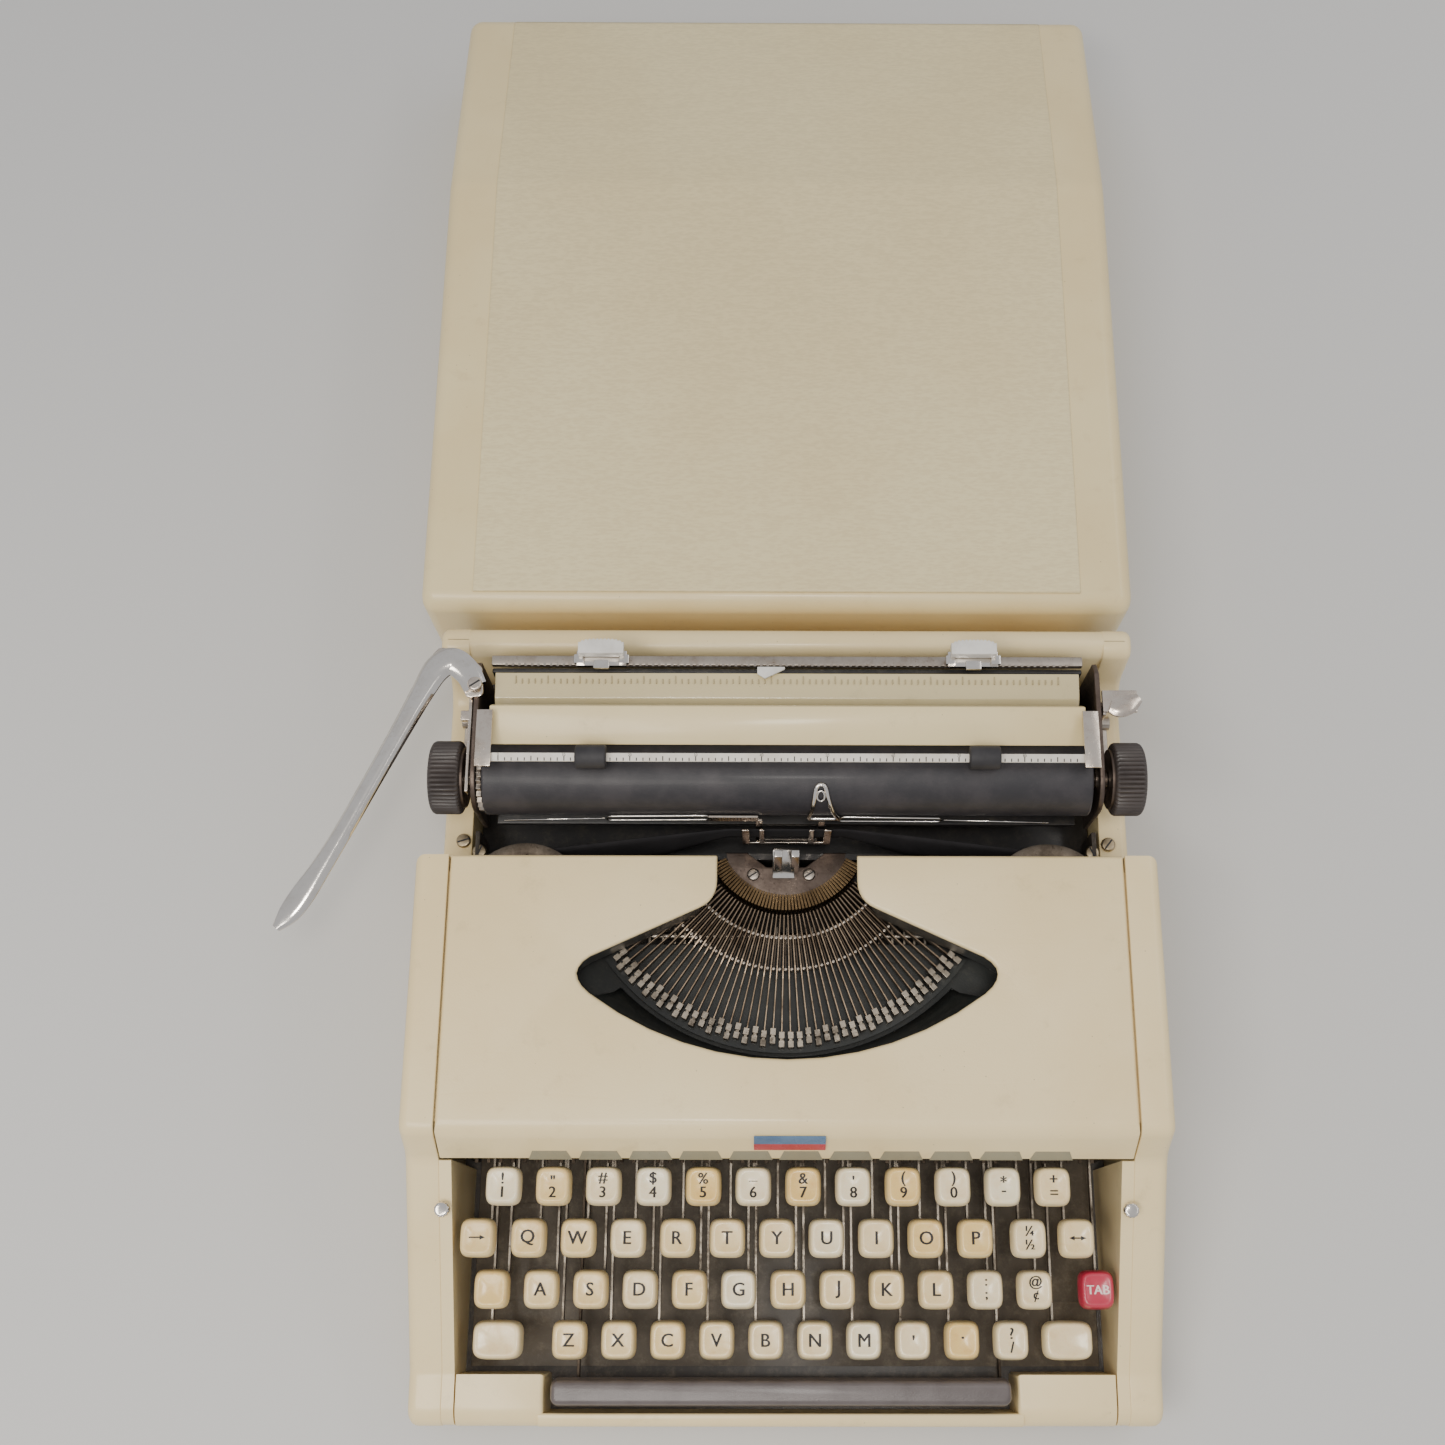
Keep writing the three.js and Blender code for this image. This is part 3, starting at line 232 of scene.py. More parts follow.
# %% A finish under construction
class Finish:
    def __init__(self, name, roughness=0.5, metallic=0.0, coat=0.0, specular=0.5):
        self.material = bpy.data.materials.new(name)
        self.material.use_nodes = True
        self.tree = self.material.node_tree
        self.shader = self.tree.nodes["Principled BSDF"]
        self.shader.inputs["Metallic"].default_value = metallic
        self.shader.inputs["Roughness"].default_value = roughness
        self.shader.inputs["Coat Weight"].default_value = coat
        self.shader.inputs["Coat Roughness"].default_value = 0.15
        self.shader.inputs["Specular IOR Level"].default_value = specular
        self.place = self.add("ShaderNodeTexCoord", output="Object")
        self.axes = [self.add("ShaderNodeSeparateXYZ", inputs={"Vector": self.place}, output=i)
                     for i in range(3)]

    def add(self, kind, settings=None, inputs=None, output=0):
        node = self.tree.nodes.new(kind)
        for key, value in (settings or {}).items():
            if key == "stops":
                while len(node.color_ramp.elements) < len(value):
                    node.color_ramp.elements.new(0.5)
                for element, (where, colour) in zip(node.color_ramp.elements, value):
                    element.position, element.color = where, colour
            else:
                setattr(node, key, value)
        for key, value in (inputs or {}).items():
            connect(self.tree, node.inputs[key], value)
        return Value(self.tree, node.outputs[output])

    def stretched(self, stretch):
        return self.add("ShaderNodeMapping", inputs={"Vector": self.place, "Scale": stretch})

    def noise(self, scale, detail=3.0, roughness=0.55, stretch=None, distortion=0.0):
        vector = self.stretched(stretch) if stretch else self.place
        return self.add("ShaderNodeTexNoise", inputs={
            "Vector": vector, "Scale": scale, "Detail": detail, "Roughness": roughness,
            "Distortion": distortion})

    def cells(self, scale, stretch=None, feature="F1"):
        vector = self.stretched(stretch) if stretch else self.place
        return self.add("ShaderNodeTexVoronoi", {"feature": feature},
                        {"Vector": vector, "Scale": scale})

    def eased(self, value, low, high):
        """0 below low and 1 above high, turning smoothly between."""
        return self.add("ShaderNodeMapRange", {"interpolation_type": "SMOOTHSTEP"},
                        {"Value": value, "From Min": low, "From Max": high})

    def mixed(self, share, first, second, how="MIX"):
        return self.add("ShaderNodeMix", {"data_type": "RGBA", "blend_type": how},
                        {0: share, 6: first, 7: second}, output=2)

    def attribute(self, name):
        return self.add("ShaderNodeAttribute", {"attribute_name": name}, output="Fac")

    def colour(self, value):
        connect(self.tree, self.shader.inputs["Base Color"], value)
        return self

    def roughness(self, value):
        connect(self.tree, self.shader.inputs["Roughness"], value)
        return self

    def relief(self, height, depth, strength=1.0):
        """Bump whose height of 1 stands for a depth in metres."""
        normal = self.add("ShaderNodeBump", inputs={
            "Height": height, "Distance": depth, "Strength": strength})
        connect(self.tree, self.shader.inputs["Normal"], normal)
        return self


# %% [markdown]
# **Paint.** The shell is steel under a hard cream enamel that has yellowed unevenly. Sprayed
# enamel is never quite flat: it has a faint orange peel, clouds of slightly different cream,
# dust marks, and fine scratches where hands and the lid have rubbed. The same recipe with other
# colours gives the black and brown paint inside.

# %% Sprayed paint
def paint(name, base, worn, roughness=0.38, peel=0.00006, coat=0.25, speck=0.5, dust=0.0):
    """Base colour clouded with a worn one, dark specks, fine scratches and orange peel."""
    made = Finish(name, roughness, coat=coat)
    clouds = made.eased(made.noise(14.0, 5.0), 0.35, 0.7)
    colour = made.mixed(clouds * 0.55, tint(*base), tint(*worn))
    patches = made.eased(made.noise(70.0, 6.0, 0.7), 0.56, 0.74)
    colour = made.mixed(patches * 0.3, colour, tint(*[c * 0.86 for c in worn]))
    specks = made.cells(230.0) < 0.055
    colour = made.mixed(specks * (made.noise(60.0) > 0.55) * speck, colour,
                        tint(*[c * 0.55 for c in worn]))
    if dust:
        settled = made.eased(made.noise(160.0, 8.0, 0.8), 0.45, 0.75)
        colour = made.mixed(settled * dust, colour, tint(150, 138, 116))
    scratches = made.eased(made.noise(120.0, 2.0, 0.5, (0.12, 1.6, 1.0), 1.2), 0.69, 0.72)
    made.colour(colour)
    made.roughness(roughness + 0.14 * made.noise(32.0, 4.0) + 0.12 * scratches - 0.05)
    made.relief(made.noise(1300.0, 2.0) + 0.4 * made.noise(260.0) - 0.25 * scratches, peel)
    return made.material


cream_paint = paint("cream_paint", (244, 222, 170), (234, 206, 148))
lid_edge_paint = paint("lid_edge_paint", (236, 216, 164), (224, 199, 144))
table_paint = paint("paper_table_paint", (214, 198, 152), (200, 182, 136), 0.16, coat=0.8)
black_paint_and_slot_shade = paint("black_paint_and_slot_shade", (30, 29, 30), (44, 40, 38), 0.42, dust=0.12)
basket_paint = paint("basket_lining_paint", (34, 37, 35), (50, 54, 51), 0.5, dust=0.1)
floor_brown = paint("keyboard_floor_paint", (92, 82, 68), (74, 64, 52), 0.6, coat=0.05, dust=0.45)
frame_paint = paint("mechanism_paint", (58, 50, 42), (38, 32, 28), 0.55, coat=0.05, dust=0.3)
print("paints", [m.name for m in bpy.data.materials])

# %% [markdown]
# ** Leather grain.** The middle of the lid is stamped with a fine grain whose wrinkles run from
# side to side. Two layers make it: cells pulled out sideways for the wrinkles, and a finer
# noise for the pores. The creases are painted a little darker than the crowns: painted shade, with some dirt.

# %% Lid grain
grain = Finish("lid_grain", 0.5, coat=0.1)
wrinkle = grain.cells(820.0, (0.42, 1.5, 1.0), "SMOOTH_F1")
pores = grain.noise(1300.0, 3.0, 0.6, (0.5, 1.6, 1.0), 0.5)
drift = grain.noise(300.0, 2.0, 0.5, (0.22, 1.9, 1.0), 0.6)
height = 0.6 * wrinkle + 0.4 * pores + 0.45 * drift
cream = grain.mixed(grain.eased(grain.noise(9.0, 4.0), 0.35, 0.7) * 0.5, tint(232, 216, 168),
                    tint(222, 202, 152))
crease = grain.eased(height, 0.5, 0.85)
# The low parts of the grain are mixed towards a darker brown: painted shade in the creases, and some dirt.
grain.colour(grain.mixed((1.0 - crease) * 0.2, cream, tint(178, 157, 118)))
grain.roughness(0.42 + 0.2 * crease)
grain.relief(height, 0.00016, 0.75)
lid_grain = grain.material


# %% [markdown]
# **Ivory keys.** The caps were moulded in one batch and have aged apart: some stayed nearly
# white and some turned the colour of butter. Each cap carries a number, its `tone`, and the
# finish mixes its colours by it. Fingers have polished the dish and left the skirt duller.

# %% Moulded ivory
ivory = Finish("ivory_plastic", 0.3, coat=0.3)
tone = ivory.attribute("tone")
stain = ivory.eased(ivory.noise(160.0, 5.0, 0.65, None, 0.8), 0.42, 0.72)
pale = ivory.mixed(tone, tint(246, 232, 198), tint(238, 198, 112))
deep = ivory.mixed(tone, tint(234, 210, 160), tint(214, 164, 78))
skirt_dullness_and_painted_light = ivory.attribute("skirt")
ivory_colour = ivory.mixed(stain * 0.55, pale, deep)
# The skirt is pulled towards a paler cream: painted light on the sides of the cap.
ivory.colour(ivory.mixed(skirt_dullness_and_painted_light * 0.4, ivory_colour, tint(250, 234, 188)))
ivory.roughness(0.26 + 0.16 * stain + 0.1 * skirt_dullness_and_painted_light)
ivory.shader.inputs["Subsurface Weight"].default_value = 0.08
ivory.shader.inputs["Subsurface Radius"].default_value = (0.003, 0.002, 0.001)
ivory.relief(ivory.noise(700.0, 3.0), 0.00004)
ivory_plastic = ivory.material


# %% [markdown]
# **Other plastics.** One recipe covers the moulded pieces: a body colour with a slightly
# different second colour in clouds, a fine moulded texture, and rubbed shine.

# %% Moulded plastic
def plastic(name, base, second, roughness=0.4, texture=900.0, depth=0.00005, coat=0.1):
    """A body colour clouded with a second one, over a fine moulded texture."""
    made = Finish(name, roughness, coat=coat)
    made.colour(made.mixed(made.eased(made.noise(75.0, 5.0, 0.65), 0.35, 0.7), tint(*base),
                           tint(*second)))
    made.roughness(roughness - 0.06 + 0.16 * made.noise(110.0, 4.0))
    made.relief(made.noise(texture, 3.0, 0.6), depth)
    return made.material


tab_plastic = plastic("tab_red_plastic", (190, 48, 72), (168, 38, 62), 0.3, coat=0.3)
space_plastic = plastic("space_bar_plastic", (98, 90, 88), (86, 78, 76), 0.36, 1400.0, 0.00009)
knob_plastic = plastic("knob_plastic", (66, 58, 54), (50, 43, 40), 0.45)
button_plastic = plastic("stop_button_plastic", (228, 224, 216), (208, 203, 194), 0.42, coat=0.15)
roller_rubber = plastic("roller_rubber", (40, 38, 40), (54, 52, 53), 0.6, 1200.0, 0.00006, 0.0)
platen_rubber = plastic("platen_rubber", (40, 38, 41), (56, 52, 54), 0.5, 1500.0, 0.00008, 0.05)
foot_rubber = plastic("foot_rubber", (34, 32, 31), (48, 45, 42), 0.8, 900.0, 0.0001, 0.0)
legend_ink = plastic("legend_ink", (16, 9, 5), (26, 16, 9), 0.5, 1200.0, 0.00002, 0.0)
legend_white = plastic("legend_white", (238, 214, 208), (226, 196, 190), 0.45, 1200.0, 0.00002, 0.0)
scale_white = plastic("scale_white", (222, 216, 204), (206, 196, 180), 0.35, 1200.0, 0.00003, 0.2)
ribbon_cloth = plastic("inked_cloth", (24, 22, 24), (34, 31, 33), 0.85, 2200.0, 0.00012, 0.0)
badge_blue = plastic("badge_blue_enamel", (92, 124, 158), (78, 108, 142), 0.25, 900.0, 0.00002, 0.5)
badge_red = plastic("badge_red_enamel", (192, 62, 72), (172, 50, 60), 0.25, 900.0, 0.00002, 0.5)


# %% [markdown]
# **Metals.** Chrome is a mirror with faint pitting. Plain steel carries brush lines and the
# brown film of old oil. Both are a metallic shader whose colour and roughness vary.

# %% Bare and plated metal
def metal(name, bright, tarnish, roughness=0.25, amount=0.5, brush=(1.0, 1.0, 1.0), depth=0.00003):
    """A bright metal with tarnish in clouds and spots, and brush lines along one direction."""
    made = Finish(name, roughness, 1.0)
    clouds = made.eased(made.noise(90.0, 6.0, 0.7), 0.4, 0.72)
    spots = made.eased(made.noise(620.0, 4.0, 0.7), 0.58, 0.7)
    film = (clouds * amount + spots * amount * 0.7).within()
    made.colour(made.mixed(film, tint(*bright), tint(*tarnish)))
    made.roughness(roughness + 0.25 * film + 0.08 * made.noise(500.0, 2.0, 0.5, brush))
    made.relief(made.noise(900.0, 3.0, 0.6, brush) + 0.5 * spots, depth)
    return made.material


chrome = metal("chrome", (226, 220, 212), (150, 134, 116), 0.1, 0.22, depth=0.00001)
worn_chrome = metal("worn_chrome", (218, 206, 192), (134, 108, 88), 0.16, 0.5, (0.3, 1.0, 1.0))
steel = metal("steel", (176, 166, 154), (98, 80, 64), 0.3, 0.5, (0.2, 2.0, 2.0))
lever_steel = metal("lever_steel", (150, 141, 128), (66, 55, 44), 0.32, 0.75, (3.0, 0.15, 3.0))
spool_steel = metal("spool_steel", (112, 102, 90), (54, 44, 36), 0.38, 0.6)
typebar_steel = metal("typebar_steel", (150, 132, 112), (62, 46, 34), 0.32, 0.65, (2.0, 0.5, 2.0))
slug_steel = metal("slug_steel", (158, 148, 134), (58, 48, 38), 0.32, 0.75)
link_steel = metal("link_steel", (84, 74, 64), (40, 32, 26), 0.45, 0.6)
cast_metal = metal("cast_metal", (104, 92, 84), (60, 48, 42), 0.42, 0.5, depth=0.00006)
brass = metal("brass", (112, 92, 66), (56, 44, 32), 0.38, 0.6)
nickel = metal("nickel", (178, 162, 134), (110, 90, 64), 0.3, 0.5)
print("finishes", len(bpy.data.materials))

# %% [markdown]
# ## Shapes from outlines
# Most of this machine is sheet metal and bar: one outline, pushed sideways, with its edges
# rounded over. An outline is a list of corners. `rounded` replaces each corner by an arc, and
# `inset` moves every side inwards. A prism with round edges is then a stack of insets of the
# same outline, worked out as one array.

# %% Outlines
def rounded(corners, radii, steps=5, closed=True):
    """Each corner gives way to an arc that touches both sides: centre on the corner's bisector."""
    corners = np.asarray(corners, float)
    radii = np.broadcast_to(np.asarray(radii, float), len(corners))
    before, after = np.roll(corners, 1, 0), np.roll(corners, -1, 0)
    way_in = before - corners
    way_out = after - corners
    way_in /= np.linalg.norm(way_in, axis=1, keepdims=True) + 1e-12
    way_out /= np.linalg.norm(way_out, axis=1, keepdims=True) + 1e-12
    half = np.arccos(np.clip((way_in * way_out).sum(1), -1, 1)) / 2
    reach = radii / np.tan(half)
    share = np.linspace(0, 1, steps)[None, :, None]
    start, end = corners + way_in * reach[:, None], corners + way_out * reach[:, None]
    middle = corners + (way_in + way_out) / (
        np.linalg.norm(way_in + way_out, axis=1, keepdims=True) + 1e-12) * (radii / np.sin(half))[:,
                                                                                                  None]
    spokes = (start - middle)[:, None] * (1 - share) + (end - middle)[:, None] * share
    spokes *= radii[:, None, None] / (np.linalg.norm(spokes, axis=2, keepdims=True) + 1e-12)
    arcs = middle[:, None] + spokes
    keep = [arcs[i] if radii[i] > 0 and (closed or 0 < i < len(corners) - 1) else corners[i:i + 1]
            for i in range(len(corners))]
    return np.concatenate(keep)


def inset(outline, distance):
    """Every side of a counter-clockwise outline moved inwards; corners slide along their bisectors."""
    along = np.roll(outline, -1, 0) - outline
    along /= np.linalg.norm(along, axis=1, keepdims=True) + 1e-12
    inward = np.stack([-along[:, 1], along[:, 0]], 1)
    previous = np.roll(inward, 1, 0)
    bisector = inward + previous
    stretch = (bisector * inward).sum(1)
    return outline + bisector * (distance / np.maximum(stretch, 0.35))[:, None]


def counter_clockwise(outline):
    x, y = outline.T
    area = (x * np.roll(y, -1) - y * np.roll(x, -1)).sum()
    return outline if area > 0 else outline[::-1]


def ring_faces(rings, count, closed=True):
    """Quads between rings of points; each ring holds count points."""
    turn = count if closed else count - 1
    here, ring = np.meshgrid(np.arange(turn), np.arange(rings - 1))
    here, ring = here.ravel(), ring.ravel()
    there = (here + 1) % count
    return np.stack([ring * count + here, ring * count + there,
                     (ring + 1) * count + there, (ring + 1) * count + here], 1).tolist()


# Where an outline's two numbers go for each pushing axis: along X it is (Y, Z), along Y (X, Z),
# along Z (X, Y). The sign keeps faces pointing out.
PUSH = {"X": ((1, 2), 0, 1), "Y": ((0, 2), 1, -1), "Z": ((0, 1), 2, 1)}


def prism(outline, axis, start, end, edge=0.6, steps=3):
    """An outline pushed from start to end, with the rims of both ends rounded over. A corner is
    either sharp or rounder than the rim, because a smaller arc would cross itself when inset.
    A rim point at angle t is inset by edge * (1 - sin t) and lies edge * (1 - cos t) inside the end."""
    outline = counter_clockwise(np.asarray(outline, float))
    if np.isscalar(edge):
        edge = (edge, edge)
    layers = []
    for reach, at, sign in ((edge[0], start, 1), (edge[1], end, -1)):
        angles = np.linspace(0, np.pi / 2, steps) if reach > 0 else np.array([np.pi / 2])
        rim = [(reach * (1 - np.sin(t)), at + sign * reach * (1 - np.cos(t))) for t in angles]
        layers += rim if sign > 0 else rim[::-1]
    (first, second), third, sign = PUSH[axis]
    points = np.zeros((len(layers), len(outline), 3))
    for layer, (distance, at) in zip(points, layers):
        ring = inset(outline, distance) if distance > 1e-9 else outline
        layer[:, first], layer[:, second], layer[:, third] = ring[:, 0], ring[:, 1], at
    count = len(outline)
    faces = ring_faces(len(layers), count)
    faces.append(list(range(count))[::-1])
    faces.append(list(range((len(layers) - 1) * count, len(layers) * count)))
    if sign < 0:
        faces = [face[::-1] for face in faces]
    return points.reshape(-1, 3), faces


def merged(*parts):
    """Several (points, faces) pairs as one."""
    points, faces, offset = [], [], 0
    for some_points, some_faces in parts:
        points.append(some_points)
        faces += [[corner + offset for corner in face] for face in some_faces]
        offset += len(some_points)
    return np.concatenate(points), faces


def block(x0, x1, y0, y1, z0, z1, edge=0.4, axis="X"):
    """A bar with rounded rims."""
    if axis == "X":
        return prism([(y0, z0), (y1, z0), (y1, z1), (y0, z1)], "X", x0, x1, edge)
    if axis == "Y":
        return prism([(x0, z0), (x1, z0), (x1, z1), (x0, z1)], "Y", y0, y1, edge)
    return prism([(x0, y0), (x1, y0), (x1, y1), (x0, y1)], "Z", z0, z1, edge)


def circle(x, y, radius, count=24):
    turn = np.linspace(0, 2 * np.pi, count, endpoint=False)
    return np.stack([x + radius * np.cos(turn), y + radius * np.sin(turn)], 1)


def sharp_edges(thing, degrees=32):
    """Shades smooth, with a crease wherever two faces meet at more than the angle."""
    mesh = thing.data
    shape = bmesh.new()
    shape.from_mesh(mesh)
    for edge in shape.edges:
        edge.smooth = len(edge.link_faces) == 2 and edge.calc_face_angle(0.0) < math.radians(degrees)
    shape.to_mesh(mesh)
    shape.free()
    return thing


# %% [markdown]
# ## The shell
# The shell is pressed steel in several panels: a cheek along each side, a ledge in front that
# holds the space bar, rails beside the carriage and a round bar across the back. They could be
# one mesh, but the real panels meet at fine seams, so each is its own rounded prism. The cheek's
# outline follows the side of the machine: up the front, along the slope beside the keys, up the
# lip and level to the back of the cover.

# %% Sizes read from the frame
shell_box = machine_box("body_shell")
cover_box = machine_box("ribbon_cover")
HALF = shell_box[1][0]
DEPTH = shell_box[1][1]
FLOOR_Z = shell_box[0][2]
COVER_FRONT, COVER_BACK = cover_box[0][1], cover_box[1][1]
COVER_TOP = cover_box[1][2]
COVER_HALF = cover_box[1][0]
WELL_HALF = 128.0
LEDGE, LEDGE_TOP = 19.0, 35.0
SHOULDER_TOP = 70.5
CREASE = COVER_FRONT + 8.7
REAR_HALF = 142.0
RAIL_TOP = 52.0
BAR_DEPTH, BAR_TOP = 12.0, 85.0
SEAM = 0.5
print("shell", round(HALF, 1), round(DEPTH, 1), "cover", round(COVER_FRONT, 1),
      round(COVER_BACK, 1))

# %% Panels of the shell
cheek = rounded(
    [(0, FLOOR_Z), (0, LEDGE_TOP - 1), (LEDGE, LEDGE_TOP), (COVER_FRONT, SHOULDER_TOP),
     (CREASE, COVER_TOP), (COVER_BACK, COVER_TOP), (COVER_BACK, FLOOR_Z)],
    [0, 8, 6, 9, 6, 0, 0], 7)
well_cheek = rounded(
    [(0.3, FLOOR_Z), (0.3, LEDGE_TOP - 1), (LEDGE, LEDGE_TOP),
     (COVER_FRONT - 0.2, SHOULDER_TOP - 0.1),
     (COVER_FRONT - 0.2, FLOOR_Z)], [0.5, 8, 6, 0.5, 0.5], 7)
ledge = rounded([(0, FLOOR_Z), (0, LEDGE_TOP - 1), (LEDGE, LEDGE_TOP - 0.2), (LEDGE, FLOOR_Z)],
                [0, 8, 0, 0], 7)
ledge_front = rounded([(0, FLOOR_Z), (0, LEDGE_TOP - 1), (5, LEDGE_TOP - 1.4), (5, FLOOR_Z)],
                      [0.5, 4.0, 0.8, 0.5], 7)
bar_front = DEPTH - BAR_DEPTH
rail = rounded(
    [(COVER_BACK, FLOOR_Z), (COVER_BACK, RAIL_TOP), (bar_front - 4, RAIL_TOP), (bar_front, BAR_TOP),
     (DEPTH, BAR_TOP), (DEPTH, FLOOR_Z)], [0, 0, 12, 5.3, 5.3, 0], 7)
rear_bar = rounded([(bar_front, FLOOR_Z + 20), (bar_front, BAR_TOP), (DEPTH, BAR_TOP),
                    (DEPTH, FLOOR_Z)],
                   [0.5, 5.9, 5.9, 0.5], 7)
space_left, space_right = -93.5, 89.5
parts = []
for side in (-1, 1):
    def across(near, far):
        return (near, far) if side > 0 else (-far, -near)

    parts.append(prism(cheek, "X", *across(COVER_HALF + 0.6, HALF),
                       (0.5, 4.0) if side > 0 else (4.0, 0.5), 6))
    parts.append(prism(well_cheek, "X", *across(WELL_HALF, COVER_HALF + 0.6), 0.0))
    parts.append(prism(rail, "X", *across(REAR_HALF - 12, REAR_HALF),
                       (0.5, 3.0) if side > 0 else (3.0, 0.5), 5))
parts.append(prism(ledge, "X", -WELL_HALF + SEAM, space_left, (0.3, 1.5), 4))
parts.append(prism(ledge, "X", space_right, WELL_HALF - SEAM, (1.5, 0.3), 4))
parts.append(prism(ledge_front, "X", space_left - 2, space_right + 2, 0.2))
parts.append(prism(rear_bar, "X", -REAR_HALF + 2.5, REAR_HALF - 2.5, 0.4))
for side in (-1, 1):
    near, far = (COVER_HALF - 5, COVER_HALF + 1.0)
    x0, x1 = (near, far) if side > 0 else (-far, -near)
    parts.append(block(x0, x1, 110, 206, 78, COVER_TOP - 3.0, 0.3))
shell = make_piece("shell_panels", *merged(*parts), cream_paint, "base")
sharp_edges(shell)
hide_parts("body_shell")
print("shell panels", len(parts))

# %% [markdown]
# ## The ribbon cover
# The cover lifts off to change the ribbon. It is one pressed sheet with a fan-shaped opening.
# Its CAD solid already has the exact opening, so the visible cover starts as a copy of that
# solid: doubled corners are merged, flat faces joined, and a Bevel modifier rolls the edges over.
# How far each edge rolls is an edge weight, large along the crease above the keys.

# %% A rounded copy of a solid
def softened(node, name, finish, body, width, weigh=None, segments=3, degrees=28):
    """A merged copy of a CAD node whose sharp edges are bevelled; weigh gives each edge 0 to 1."""
    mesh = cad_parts[node].data.copy()
    mesh.name = name
    mesh.materials.clear()
    mesh.materials.append(finish)
    shape = bmesh.new()
    shape.from_mesh(mesh)
    bmesh.ops.remove_doubles(shape, verts=shape.verts, dist=2e-6)
    bmesh.ops.dissolve_limit(shape, angle_limit=math.radians(0.8), verts=shape.verts,
                             edges=shape.edges)
    weights = shape.edges.layers.float.get("bevel_weight_edge") or \
        shape.edges.layers.float.new("bevel_weight_edge")
    for edge in shape.edges:
        if len(edge.link_faces) == 2 and edge.calc_face_angle(0.0) > math.radians(degrees):
            middle = (edge.verts[0].co + edge.verts[1].co) / 2
            spot = (np.array(middle) - [MIDDLE_X, FRONT_Y, 0]) * 1000
            edge[weights] = 1.0 if weigh is None else weigh(spot)
    for face in shape.faces:
        face.smooth = True
    shape.to_mesh(mesh)
    shape.free()
    thing = bpy.data.objects.new(name, mesh)
    bpy.context.scene.collection.objects.link(thing)
    bevel = thing.modifiers.new("rolled_edges", "BEVEL")
    bevel.width = width / 1000
    bevel.segments = segments
    bevel.limit_method = "WEIGHT"
    bevel.use_clamp_overlap = False
    bevel.harden_normals = True
    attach(thing, body)
    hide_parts(node)
    return thing


def cover_weight(spot):
    """The crease above the keys rolls widest, then the upper rim of the opening, then the rest."""
    on_crease = abs(spot[1] - CREASE) < 2.0 and spot[2] > 80
    on_top = abs(spot[2] - COVER_TOP) < 0.05
    return 1.0 if on_crease else (0.3 if on_top else 0.12)


cover = softened("ribbon_cover", "cover_sheet", cream_paint, "ribbon_cover", 5.0, cover_weight, 4)
print("cover edges", len(cover.data.edges))

# %% [markdown]
# Low grey-green trapezoids along the lower edge of the lip, one above each number key, are painted shadow: the
# shade of the keys and of the lip's notches for their levers, laid on as thin darker plates a hair above the
# sheet. Each is a low trapezoid, so it is a prism of four corners laid on the slope.

# %% Painted key shadows on the lip, and badge
lip_rise = (COVER_TOP - 72.0) / (CREASE - COVER_FRONT)


def on_lip(x, share, lift):
    """A point on the lip: share runs from its lower edge, 0, to the crease, 1."""
    x, share, lift = np.broadcast_arrays(*(np.asarray(v, float) for v in (x, share, lift)))
    slope = np.arctan(lip_rise)
    y = COVER_FRONT + share * (CREASE - COVER_FRONT) - lift * np.sin(slope)
    z = 72.0 + share * (COVER_TOP - 72.0) + lift * np.cos(slope)
    return np.stack([x, y, z], -1)


def lip_plate(left, right, low, high, taper, lift):
    """A thin plate on the lip: its lower edge is wider than its upper by the taper."""
    outline = np.array([(left, low), (right, low), (right - taper, high), (left + taper, high)])
    under, over = on_lip(outline[:, 0], outline[:, 1], 0.0), on_lip(outline[:, 0], outline[:, 1],
                                                                    lift)
    points = np.concatenate([under, over])
    return points, [[3, 2, 1, 0], [4, 5, 6, 7]] + [[i, (i + 1) % 4, 4 + (i + 1) % 4,
                                                    4 + i] for i in range(4)]


# A darker paint for the trapezoids on the lip: painted shadow of the number keys and their notches.
lip_shadow_paint = paint("lip_shadow_paint", (150, 144, 120), (128, 122, 100), 0.45)
key_shadow_plates = [lip_plate(x - 8.3, x + 8.3, -0.02, 0.30, 1.8,
                     0.12) for x in -90.0 + 19.05 * np.arange(11)]
make_piece("lip_key_shadows", *merged(*key_shadow_plates), lip_shadow_paint, "ribbon_cover", smooth=False)
badge_low, badge_high = 0.42, 0.86
badge_middle = (badge_low + badge_high) / 2
upper_half = make_piece("badge_upper_enamel", *lip_plate(-12.6, 14.4, badge_middle, badge_high, 0,
                                                         0.95),
                        badge_blue, "ribbon_cover", smooth=False)
make_piece("badge_lower_enamel", *lip_plate(-12.6, 14.4, badge_low, badge_middle, 0, 0.95),
           badge_red, "ribbon_cover", smooth=False)
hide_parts("name_badge")
print("key_shadow_plates", len(key_shadow_plates))

# %% [markdown]
# ## The lid
# The lid is one deep tray of sheet steel, upside down on the table. Its outline from the side
# goes up the near wall, over a round edge, level to the fold, down the slope and down the far
# wall. That line is carried across the width. Near each side the line sinks inwards on a
# quarter circle, so the long edges are round, and Solidify gives the sheet its thickness.

# %% Lid skin
lid_low, lid_high = machine_box("lid")
LID_MIDDLE = (lid_low[0] + lid_high[0]) / 2
LID_HALF = (lid_high[0] - lid_low[0]) / 2
LID_TOP = lid_high[2] - 0.8
lid_near, lid_far = lid_low[1], lid_high[1]
LID_FOLD = lid_near + 208.0
LID_LOW_TOP = 53.0
PANEL_HALF = 128.0
lid_line = rounded(
    [(lid_near, 0), (lid_near, LID_TOP), (LID_FOLD, LID_TOP), (lid_far, LID_LOW_TOP), (lid_far, 0)],
    [0, 8, 26, 9, 0], 9, closed=False)


